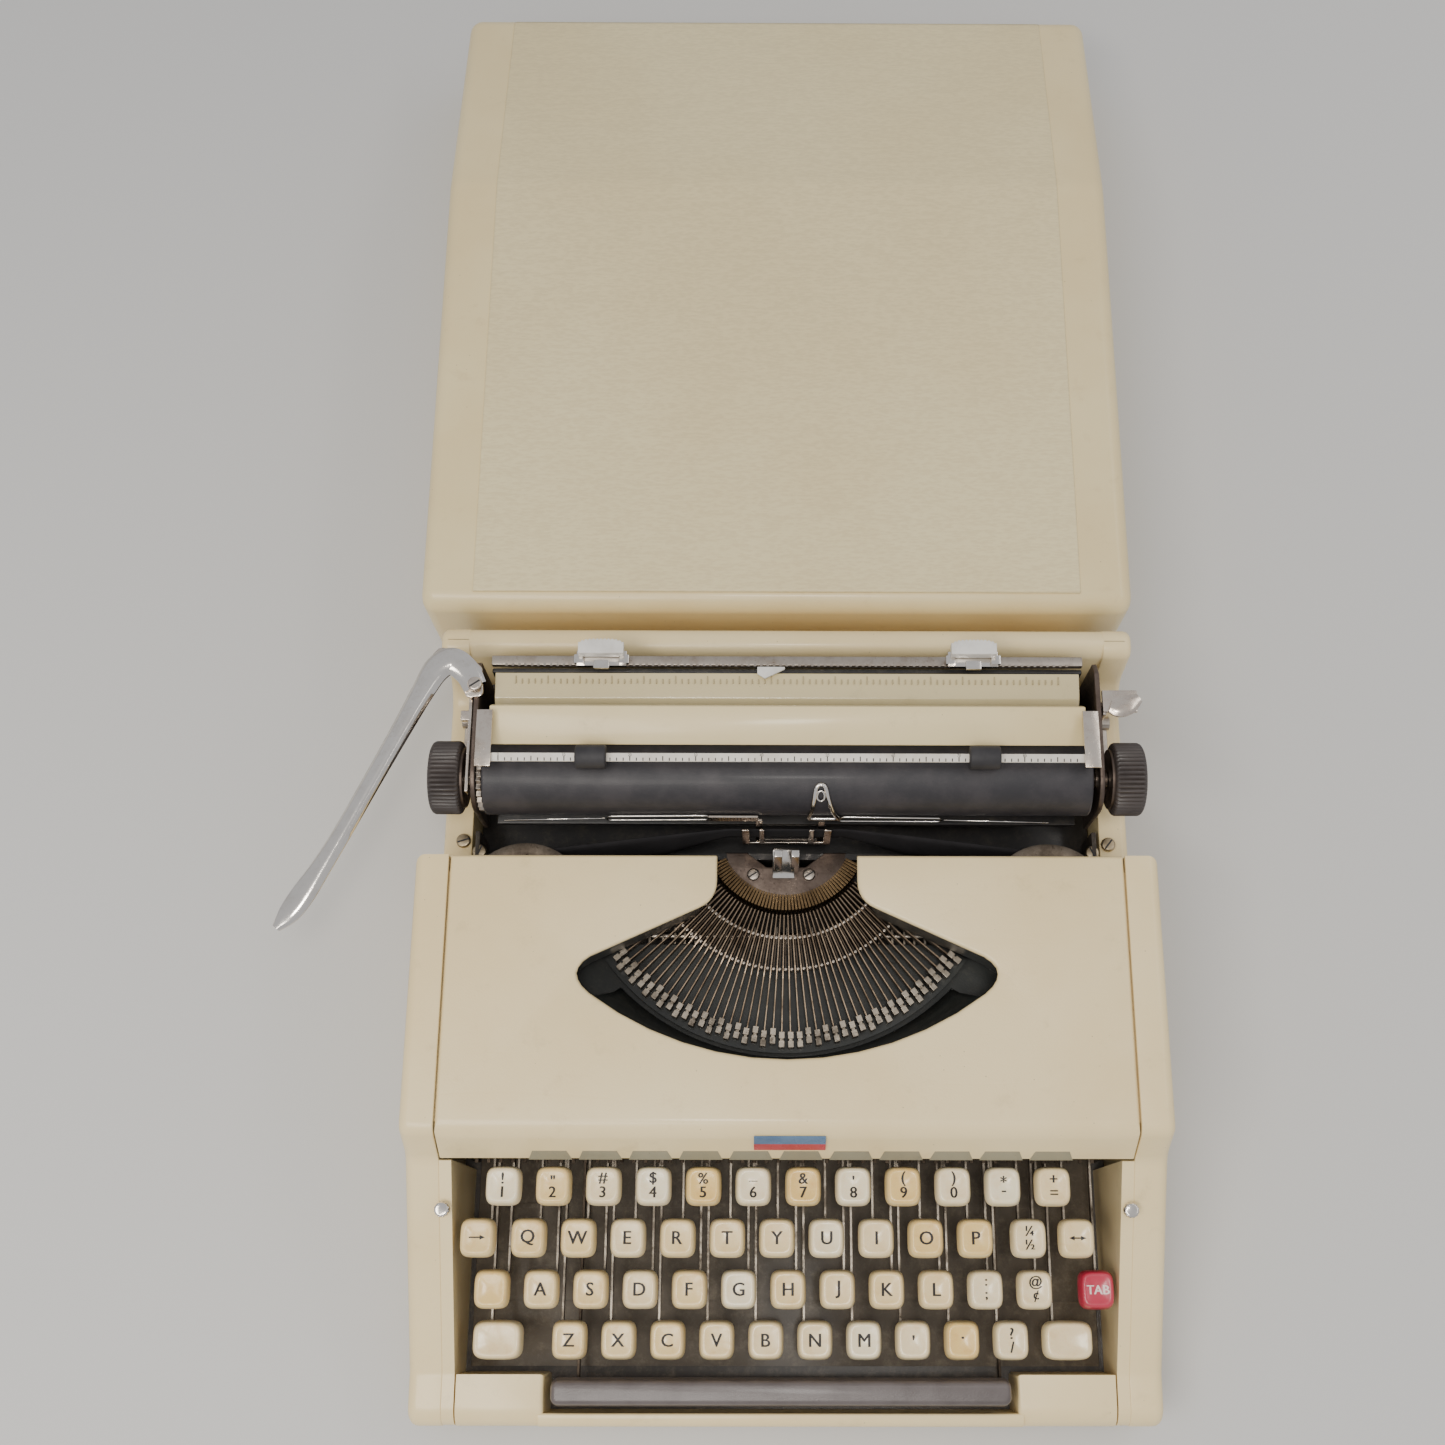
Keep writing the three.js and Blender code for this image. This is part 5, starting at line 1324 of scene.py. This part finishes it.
def outward_faces(thing):
    """Recalculates a closed mesh's normals so that they point out."""
    mesh = bmesh.new()
    mesh.from_mesh(thing.data)
    bmesh.ops.recalc_face_normals(mesh, faces=mesh.faces)
    mesh.to_mesh(thing.data)
    mesh.free()
    return thing


# %% Card holder, guide and vibrator
holder_y = machine_box("card_holder")[0][1]
wing = rounded([(-72, 85.8), (-31, 87.0), (-31, 92.5), (-70, 91.2)], 1.6, 5)
right_wing = rounded([(19, 85.4), (62, 84.8), (60, 89.4), (22, 90.8)], 1.6, 5)


def on_holder(outline):
    """Below the axis the wire stands just before the roller; above it y = axis - sqrt(R^2 - rise^2)."""
    rise = np.clip(outline[:, 1] - 92.0, -8.0, 14.6)
    y = np.where(rise > 0, 242.0 - np.sqrt(15.3 ** 2 - rise ** 2), 226.7 + 0.03 * rise)
    return np.column_stack([outline[:, 0], y, outline[:, 1]])


wires = [tube(on_holder(wing), 0.42, closed=True), tube(on_holder(right_wing), 0.42, closed=True),
         tube(on_holder(np.array([(-72, 88.5), (-112, 85.5)])), 0.35),
         tube(on_holder(np.array([(62, 87), (104, 83.5)])), 0.35)]
eye_corners = rounded([(8.0, 88.5), (20.6, 88.5), (14.7, 105.9), (11.0, 105.9)], 1.6, 5)
eye_loop = np.concatenate([eye_corners, eye_corners[:1]])
travelled = np.append(0, np.cumsum(np.linalg.norm(np.diff(eye_loop, axis=0), axis=1)))
eye_steps = np.linspace(0, travelled[-1], 73)[:-1]
eye_outline = np.column_stack([np.interp(eye_steps, travelled, eye_loop[:, axis]) for axis in (0,
                                                                                               1)])
wires += [tube(on_holder(eye_outline), 0.85, closed=True),
          tube(on_holder(circle(12.9, 103.2, 1.5, 14)), 0.45, closed=True)]
holder = outward_faces(make_piece("card_holder_wires", *merged(*wires), chrome, "base"))
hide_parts("card_holder")
scale_parts = [block(-31, -11.5, holder_y - 0.4, holder_y + 0.3, 86.5, 92.2, 0.2),
               block(-12.5, -9.8, holder_y - 0.4, holder_y + 0.3, 54, 87, 0.2),
               block(12.4, 15.2, holder_y - 0.4, holder_y + 0.3, 54, 85, 0.2),
               block(-12, 15, holder_y - 0.4, holder_y + 0.3, 51, 55, 0.2)]
make_piece("card_scale", *merged(*scale_parts), worn_chrome, "base", smooth=False)
ticks = [block(x - 0.14, x + 0.14, holder_y - 0.62, holder_y - 0.38, 89.4 if i % 5 else 88.2, 92.0,
               0.0)
         for i, x in enumerate(np.arange(-29.8, -12.4, 1.27))]
make_piece("card_scale_ticks", *merged(*ticks), legend_ink, "base", smooth=False)
softened("type_guide", "type_guide_prongs", chrome, "base", 0.3)
tongue_line = [(210.5, 53.4), (213.5, 55.2), (217.5, 61.5), (220.0, 62.6), (220.0, 61.6),
               (218.2, 60.6),
               (214.2, 54.3), (210.8, 52.6)]
tongue = make_piece("guide_tongue", *prism(tongue_line, "X", -5.6, 3.4, 0.3), chrome, "base")
sharp_edges(tongue)
softened("ribbon_vibrator", "ribbon_carrier", worn_chrome, "ribbon_vibrator", 0.25)
print("wires", len(wires), "ticks", len(ticks))

# %% [markdown]
# ## Spools
# A spool is a disc of thin steel with a raised hub and a ring of pressed ribs, over the wound
# ribbon. It is a surface of revolution: the section's distance and height carried round a circle.

# %% Spools and cups
def turned(section, x, y, count=48):
    """Points (r cos t, r sin t, z) for every section point (r, z) and angle t; the axis is closed."""
    section = np.asarray(section, float)
    t = np.linspace(0, 2 * np.pi, count, endpoint=False)
    rings = np.stack([x + section[:, :1] * np.cos(t), y + section[:, :1] * np.sin(t),
                      np.repeat(section[:, 1:], count, 1)], -1)
    faces = ring_faces(len(section), count)
    return rings.reshape(-1, 3), faces


for side, label in ((-1, "left"), (1, "right")):
    low, high = machine_box("ribbon_spool_" + label)
    x, y = (low[0] + high[0]) / 2, (low[1] + high[1]) / 2
    top, base_z, radius = high[2], low[2], (high[0] - low[0]) / 2
    disc = [(2.9, base_z), (radius, base_z), (radius, base_z + 0.6), (20, base_z + 0.7),
            (20, top - 0.8),
            (radius, top - 0.7), (radius, top - 0.1), (radius - 0.6, top), (21, top),
            (20.4, top - 0.25),
            (17, top - 0.25), (16.4, top), (9, top), (8.4, top + 0.2), (6, top + 0.2),
            (5.4, top - 0.3),
            (2.9, top - 0.3), (2.9, base_z)]
    spool = outward_faces(make_piece("spool_" + label, *turned(disc, x, y), spool_steel,
                                     "ribbon_spool_" + label))
    sharp_edges(spool, 40)
    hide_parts("ribbon_spool_" + label)
    cup = softened("spool_cup_" + label, "spool_pan_" + label, black_paint_and_slot_shade, "base", 0.3)
print("spools 2")

# %% [markdown]
# ## The carriage
# The carriage holds the platen, a hard rubber roller that the type strikes. Its ends are
# slightly chamfered and a steel shaft runs through to a ribbed knob on each side. Everything
# here rides on the carriage, or on the platen, which turns in it.

# %% Platen and knobs
platen_low, platen_high = machine_box("platen")
PLATEN_Y = (platen_low[1] + platen_high[1]) / 2
PLATEN_Z = (platen_low[2] + platen_high[2]) / 2
PLATEN_R = (platen_high[2] - platen_low[2]) / 2
roll = make_piece("platen_roll", *prism(circle(PLATEN_Y, PLATEN_Z, PLATEN_R, 96), "X", -119, 119,
                                        1.0, 5),
                  platen_rubber, "platen")
sharp_edges(roll, 40)
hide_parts("platen")
shaft = make_piece("platen_shaft", *prism(circle(PLATEN_Y, PLATEN_Z, 4, 24), "X", platen_low[0],
                                          platen_high[0], 0.3),
                   worn_chrome, "platen")
sharp_edges(shaft, 40)


# along the knob from the carriage outwards: share of the length, radius lost, share of the rib depth
KNOB_LEVELS = [(0.0, 1.6, 0.0), (0.05, 0.4, 0.7), (0.12, 0.0, 1.0), (0.86, 0.0, 1.0),
               (0.94, 0.5, 0.7),
               (0.99, 1.5, 0.1), (1.0, 2.4, 0.0), (0.98, 3.2, 0.0), (0.93, 3.8, 0.0),
               (0.93, 8.5, 0.0),
               (0.96, 9.2, 0.0)]


def ribbed_knob(inner, outer, radius, ribs=46, depth=0.95):
    """At each level r = radius - lost - share * depth * (1 - |cos(ribs * t / 2)|), so the ribs fade out
    towards both rims; the outer face has a recessed ring."""
    t = np.linspace(0, 2 * np.pi, ribs * 4, endpoint=False)
    along, lost, share = np.array(KNOB_LEVELS).T[:, :, None]
    r = radius - lost - share * depth * (1 - np.abs(np.cos(ribs * t / 2)))
    rings = np.stack([inner + (outer - inner) * along + 0 * t, PLATEN_Y + r * np.cos(t),
                      PLATEN_Z + r * np.sin(t)], -1)
    faces = ring_faces(len(KNOB_LEVELS), len(t))
    faces += [list(range(len(t))), list(range((len(KNOB_LEVELS) - 1) * len(t),
                                              len(KNOB_LEVELS) * len(t)))[::-1]]
    return rings.reshape(-1, 3), faces


for side, label in ((-1, "left"), (1, "right")):
    low, high = machine_box("knob_" + label)
    inner, outer = (low[0], high[0]) if side > 0 else (high[0], low[0])
    radius = (high[2] - low[2]) / 2
    knob = outward_faces(make_piece("ribbed_knob_" + label,
                                    *ribbed_knob(inner + side * 1.2, outer, radius),
                                    knob_plastic, "platen"))
    sharp_edges(knob, 50)
    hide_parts("knob_" + label)
    start, end = sorted((inner, inner + side * 1.6))
    collar = make_piece("knob_collar_" + label, *prism(circle(PLATEN_Y, PLATEN_Z, radius - 2.6, 48),
                                                       "X", start, end,
                                                       0.4), cast_metal, "platen")
    sharp_edges(collar, 40)
softened("ratchet_wheel", "line_space_ratchet", steel, "platen", 0.12)
print("platen radius", round(PLATEN_R, 2))

# %% [markdown]
# The paper table is bent sheet steel behind the platen, with a pressed scale whose marks are painted darker, as
# painted shade of the pressing; the deflector is a second sheet above it. Both keep their CAD outline with
# softened edges.

# %% Paper table and deflector
table = softened("paper_table", "paper_table_sheet", table_paint, "carriage", 0.35)
softened("paper_deflector", "paper_deflector_sheet", lid_edge_paint, "carriage", 0.35)
table_top = machine_box("paper_table")[1]
# The pressed marks get a darker paint than the table: painted shade of the pressing.
scale_mark_shade_paint = paint("pressed_mark_shade", (176, 160, 120), (160, 144, 106), 0.4)
marks = []
for number, x in enumerate(np.arange(-108, 109, 2.54)):
    tall = 3.2 if number % 5 == 0 else 1.9
    marks.append(block(x - 0.22, x + 0.22, table_top[1] - 4.6, table_top[1] - 4.6 + tall,
                       table_top[2] - 0.5, table_top[2] + 0.10, 0.05))
make_piece("table_scale_marks", *merged(*marks), scale_mark_shade_paint, "carriage", smooth=False)

# %% [markdown]
# ## The paper bail
# The bail presses the paper on the platen. Its bar carries a white scale with a mark for every
# letter space and a number at every tenth, and two dark rubber rollers. Two flat arms hold it.

# %% Bail
BAIL_Y, BAIL_Z = 244.9, 112.0
strip = prism([(BAIL_Y - 1.6, BAIL_Z - 1.4), (BAIL_Y + 1.4, BAIL_Z - 0.4),
               (BAIL_Y + 1.4, BAIL_Z + 0.3),
               (BAIL_Y - 1.6, BAIL_Z - 0.7)], "X", -116.5, 116.5, 0.15)
scale = make_piece("bail_scale", *strip, scale_white, "paper_bail", smooth=False)


def strip_height(y):
    """The scale's upper face leans forwards."""
    return BAIL_Z - 0.7 + (y - BAIL_Y + 1.6) / 3.0 + 0.04


def on_strip(x0, x1, y0, y1):
    corners = np.array([(x0, y0), (x1, y0), (x1, y1), (x0, y1)], float)
    return np.column_stack([corners, strip_height(corners[:, 1])]), [[0, 1, 2, 3]]


printed = []
for number, x in enumerate(np.arange(-111.76, 112, 2.54)):
    long = number % 5 == 0
    printed.append(on_strip(x - 0.2, x + 0.2, BAIL_Y - 1.45, BAIL_Y + (0.3 if long else -0.3)))
for number in range(0, 90, 10):
    flat, faces = letter_mesh(str(number), 1.5)
    flat = flat + [-111.76 + 2.54 * number, BAIL_Y + 0.78]
    printed.append((np.column_stack([flat, strip_height(flat[:, 1])]), faces))
make_piece("bail_scale_print", *merged(*printed), legend_ink, "paper_bail", smooth=False)
arm_line = rounded([(241.5, 110.6), (241.5, 113.2), (262, 113.2), (265.5, 101), (265.5, 95.2),
                    (259.5, 95.2),
                    (259.5, 101), (258, 111.4)], [0.6, 1.2, 3.5, 1, 2, 2, 1, 1.2], 5)
arms = []
for side in (-1, 1):
    x0, x1 = sorted((side * 117.7, side * 118.8))
    arms.append(prism(arm_line, "X", x0, x1, 0.25))
    x0, x1 = sorted((side * 114.4, side * 120.6))
    arms.append(block(x0, x1, 240.6, 263.5, 112.7, 113.7, 0.35, "Z"))
    x0, x1 = sorted((side * 118.2, side * 123.4))
    arms.append(prism(circle(262, 98, 1.5, 16), "X", x0, x1, 0.1))
bail = make_piece("bail_arms", *merged(*arms), worn_chrome, "paper_bail")
sharp_edges(bail)
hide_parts("paper_bail")
for side, label in ((-1, "left"), (1, "right")):
    low, high = machine_box("bail_roller_" + label)
    roller = make_piece("bail_grip_" + label, *prism(circle(BAIL_Y, BAIL_Z, 4.6, 40), "X", low[0],
                                                     high[0], 0.9, 5),
                        roller_rubber, "bail_roller_" + label)
    sharp_edges(roller, 40)
    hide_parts("bail_roller_" + label)
print("scale marks", len(printed))

# %% [markdown]
# ## Margin stops
# Two stops slide on a bar behind the paper table. Each has a chrome clip and a pale ribbed
# button. The ribs are a wave along the button's edge: y = back + depth * |cos(pi x / pitch)|.

# %% Stops
for side, label in ((-1, "left"), (1, "right")):
    low, high = machine_box("margin_stop_" + label)
    middle = (low[0] + high[0]) / 2
    clip = [block(low[0] + 1, high[0] - 1, low[1], low[1] + 6.2, low[2] + 3.6, low[2] + 5.2, 0.3),
            block(low[0] + 3, high[0] - 3, high[1] - 4.6, high[1] - 3.4, low[2], low[2] + 4.6, 0.2),
            block(middle - 3.2, middle + 3.2, low[1] - 1.4, low[1] + 2.0, low[2] + 4.6,
                  low[2] + 6.4, 0.5),
            block(low[0], low[0] + 4.0, low[1] + 0.6, low[1] + 4.2, low[2] + 4.9, low[2] + 6.6,
                  0.5),
            block(high[0] - 4.0, high[0], low[1] + 0.6, low[1] + 4.2, low[2] + 4.9, low[2] + 6.6,
                  0.5)]
    made = make_piece("stop_clip_" + label, *merged(*clip), chrome, "margin_stop_" + label)
    sharp_edges(made)
    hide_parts("margin_stop_" + label)
    x = np.linspace(-9.0, 9.0, 73)
    back_edge = high[1] - 0.9 + 0.6 * np.abs(np.cos(np.pi * x / 1.5)) - 1.6 * (np.abs(x) / 9.0) ** 4
    plan = np.concatenate([np.column_stack([x + middle, back_edge])[::-1],
                           [(middle - 9.0, high[1] - 6.5), (middle + 9.0, high[1] - 6.5)]])
    button = make_piece("stop_button_" + label, *prism(plan, "Z", high[2] - 4.6, high[2],
                                                       (0.05, 0.18), 4),
                        button_plastic, "margin_stop_" + label)
    sharp_edges(button, 45)
print("stops 2")

# %% [markdown]
# ## The return lever
# A long chromed lever swings the carriage back. It is a strip that narrows from its bracket and
# ends in a finger plate. Across, its section is a lens: flat below and crowned above, so it
# catches one long highlight. The path, width and crown are given at a few stations and blended.

# %% Return lever
lever_box = machine_box("return_lever")
LEVER_Z = lever_box[0][2]
stations = np.array([
    # x, y, half width, crown
    [-122.6, 274.5, 4.6, 1.2], [-126.5, 281.0, 5.2, 1.6], [-132.5, 285.2, 5.6, 2.2],
    [-138.2, 282.0, 5.4, 2.6],
    [-143.5, 272.0, 4.5, 2.6], [-151.0, 256.0, 3.9, 2.4], [-160.0, 237.0, 3.6, 2.2],
    [-170.0, 216.0, 3.5, 2.0],
    [-177.5, 201.5, 3.9, 1.8], [-183.5, 191.0, 4.6, 1.6], [-188.0, 184.0, 4.0, 1.4],
    [-192.2, 178.6, 1.6, 0.9]])


def blended(table, count):
    """Stations joined by a smooth curve: cubic pieces through each with the slope of its neighbours."""
    given = np.linspace(0, 1, len(table))
    slopes = np.gradient(table, given, axis=0)
    wanted = np.linspace(0, 1, count)
    piece = np.minimum((wanted * (len(table) - 1)).astype(int), len(table) - 2)
    span = given[1] - given[0]
    t = ((wanted - given[piece]) / span)[:, None]
    return ((2 * t**3 - 3 * t**2 + 1) * table[piece] + (t**3 - 2 * t**2 + t) * span * slopes[piece]
            + (-2 * t**3 + 3 * t**2) * table[piece + 1] + (t**3 - t**2) * span * slopes[piece + 1])


def lens_strip(table, low, count=72, across=9):
    """Upper points at height low + 1.2 + crown * (1 - w * w) for w from -1 to 1 across, lower ones flat."""
    line = blended(table, count)
    ways = np.gradient(line[:, :2], axis=0)
    ways /= np.linalg.norm(ways, axis=1, keepdims=True)
    side = np.stack([-ways[:, 1], ways[:, 0]], 1)
    w = np.linspace(-1, 1, across)
    plan = line[:, None, :2] + side[:, None] * (w[None, :, None] * line[:, 2, None, None])
    top = low + 1.0 + line[:, 3, None] * (1 - w[None] ** 2) ** 0.8
    upper = np.concatenate([plan, top[..., None]], -1)
    lower = np.concatenate([plan, np.full((*top.shape, 1), low)], -1)[:, ::-1]
    rings = np.concatenate([upper, lower], 1)
    faces = ring_faces(count, rings.shape[1])
    size = rings.shape[1]
    faces += [list(range(size)), list(range((count - 1) * size, count * size))[::-1]]
    return rings.reshape(-1, 3), faces


arm = outward_faces(make_piece("return_lever_arm", *lens_strip(stations, LEVER_Z), chrome,
                               "return_lever"))
sharp_edges(arm, 40)
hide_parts("return_lever")
head, slot_shade_bar = screw(-122.6, 275.0, LEVER_Z + 2.6, 2.9)
make_piece("lever_pivot_screw", *head, worn_chrome, "return_lever")
# The slot is a black bar on the head: painted shade in the cut.
make_piece("lever_pivot_slot_shade", *slot_shade_bar, black_paint_and_slot_shade, "return_lever", smooth=False)
bracket = prism(rounded([(-141.5, 287.5), (-138, 291.5), (-129, 290.5), (-120.6, 283),
                         (-119.6, 271), (-126, 270.6),
                         (-131, 279.5)], 2.0, 5), "Z", LEVER_Z - 2.2, LEVER_Z - 0.2, 0.4)
made = make_piece("lever_bracket", *bracket, worn_chrome, "return_lever")
sharp_edges(made)
print("lever stations", len(stations))

# %% [markdown]
# The small parts left on the carriage keep their CAD shapes with softened edges: end plates,
# line space selector, release lever and its thumb pad, and the support that folds up behind
# the paper.

# %% Carriage fittings
for side in ("left", "right"):
    softened("end_plate_" + side, "carriage_end_" + side, cast_metal, "carriage", 0.4)
softened("line_space_selector", "selector_strip", worn_chrome, "line_space_selector", 0.35)
softened("carriage_release_lever", "release_lever_arm", worn_chrome, "carriage_release_lever", 0.35)
release_low, release_high = machine_box("carriage_release_lever")
pad = outward_faces(make_piece("release_pad", *lens_strip(np.array([
    [127.0, 268.0, 2.6, 0.8], [130.5, 267.2, 3.6, 1.1], [134.5, 268.8, 3.8, 1.2],
    [138.6, 271.4, 2.0, 0.7]]),
    release_high[2] + 0.1, 24), worn_chrome, "carriage_release_lever"))
sharp_edges(pad, 40)
softened("paper_support", "support_tab", button_plastic, "paper_support", 0.3)
softened("carriage_frame", "carriage_beam", black_paint_and_slot_shade, "carriage", 0.5)
softened("margin_rack", "margin_bar", steel, "carriage", 0.4)
rack_low, rack_high = machine_box("margin_rack")
teeth = [block(x - 0.5, x + 0.5, rack_low[1] - 0.4, rack_low[1] + 0.6, rack_high[2] - 0.8,
               rack_high[2] + 0.2, 0.1)
         for x in np.arange(-112, 113, 2.54)]
make_piece("margin_bar_teeth", *merged(*teeth), steel, "carriage", smooth=False)
softened("carriage_rails", "rails", steel, "base", 0.3)
softened("mainspring_drum", "spring_drum", steel, "mainspring_drum", 0.6)
softened("fulcrum_shaft", "lever_shaft", steel, "base", 0.2)
softened("mechanism_frame", "side_frames", frame_paint, "base", 0.4)
softened("base_pan", "bottom_pan", frame_paint, "base", 0.5)
for place in ("front_left", "front_right", "rear_left", "rear_right"):
    softened("foot_" + place, "rubber_foot_" + place, foot_rubber, "base", 1.5, None, 4)
for side in ("left", "right"):
    softened("latch_stud_" + side, "catch_stud_" + side, chrome, "base", 1.0, None, 4)

# %% [markdown]
# Behind the cover two pairs of nickel screws hold the carriage rails, and a black deck closes
# the view down into the works.

# %% Rail screws and deck
heads, slot_shades = zip(*[screw(x, y, 52.6, 3.0, turn=t) for x, y, t in
                     ((-133.5, 226, 0.3), (-126.6, 221.5, 1.2), (126.6, 221.5, 2.0),
                      (133.5, 225, 0.9))])
rail_screws = make_piece("rail_screws", *merged(*heads), nickel, "base")
sharp_edges(rail_screws, 50)
# The slots are black bars on the heads: painted shade in the cut.
make_piece("rail_screw_slot_shade", *merged(*slot_shades), black_paint_and_slot_shade, "base", smooth=False)
deck_parts = [block(-129.5, 129.5, 214, 296, 28, 30, 0.4),
              block(-124, 124, 219, 221.5, 30, 50, 0.4),
              block(-124, 124, 290, 292, 30, 60, 0.4)]
deck = make_piece("inner_deck", *merged(*deck_parts), black_paint_and_slot_shade, "base")
sharp_edges(deck)
print("deck parts", len(deck_parts))

# %% Anything still bare takes plain steel
for node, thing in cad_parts.items():
    if not thing.hide_render:
        thing.data.materials.clear()
        thing.data.materials.append(steel)
        print("bare node", node)
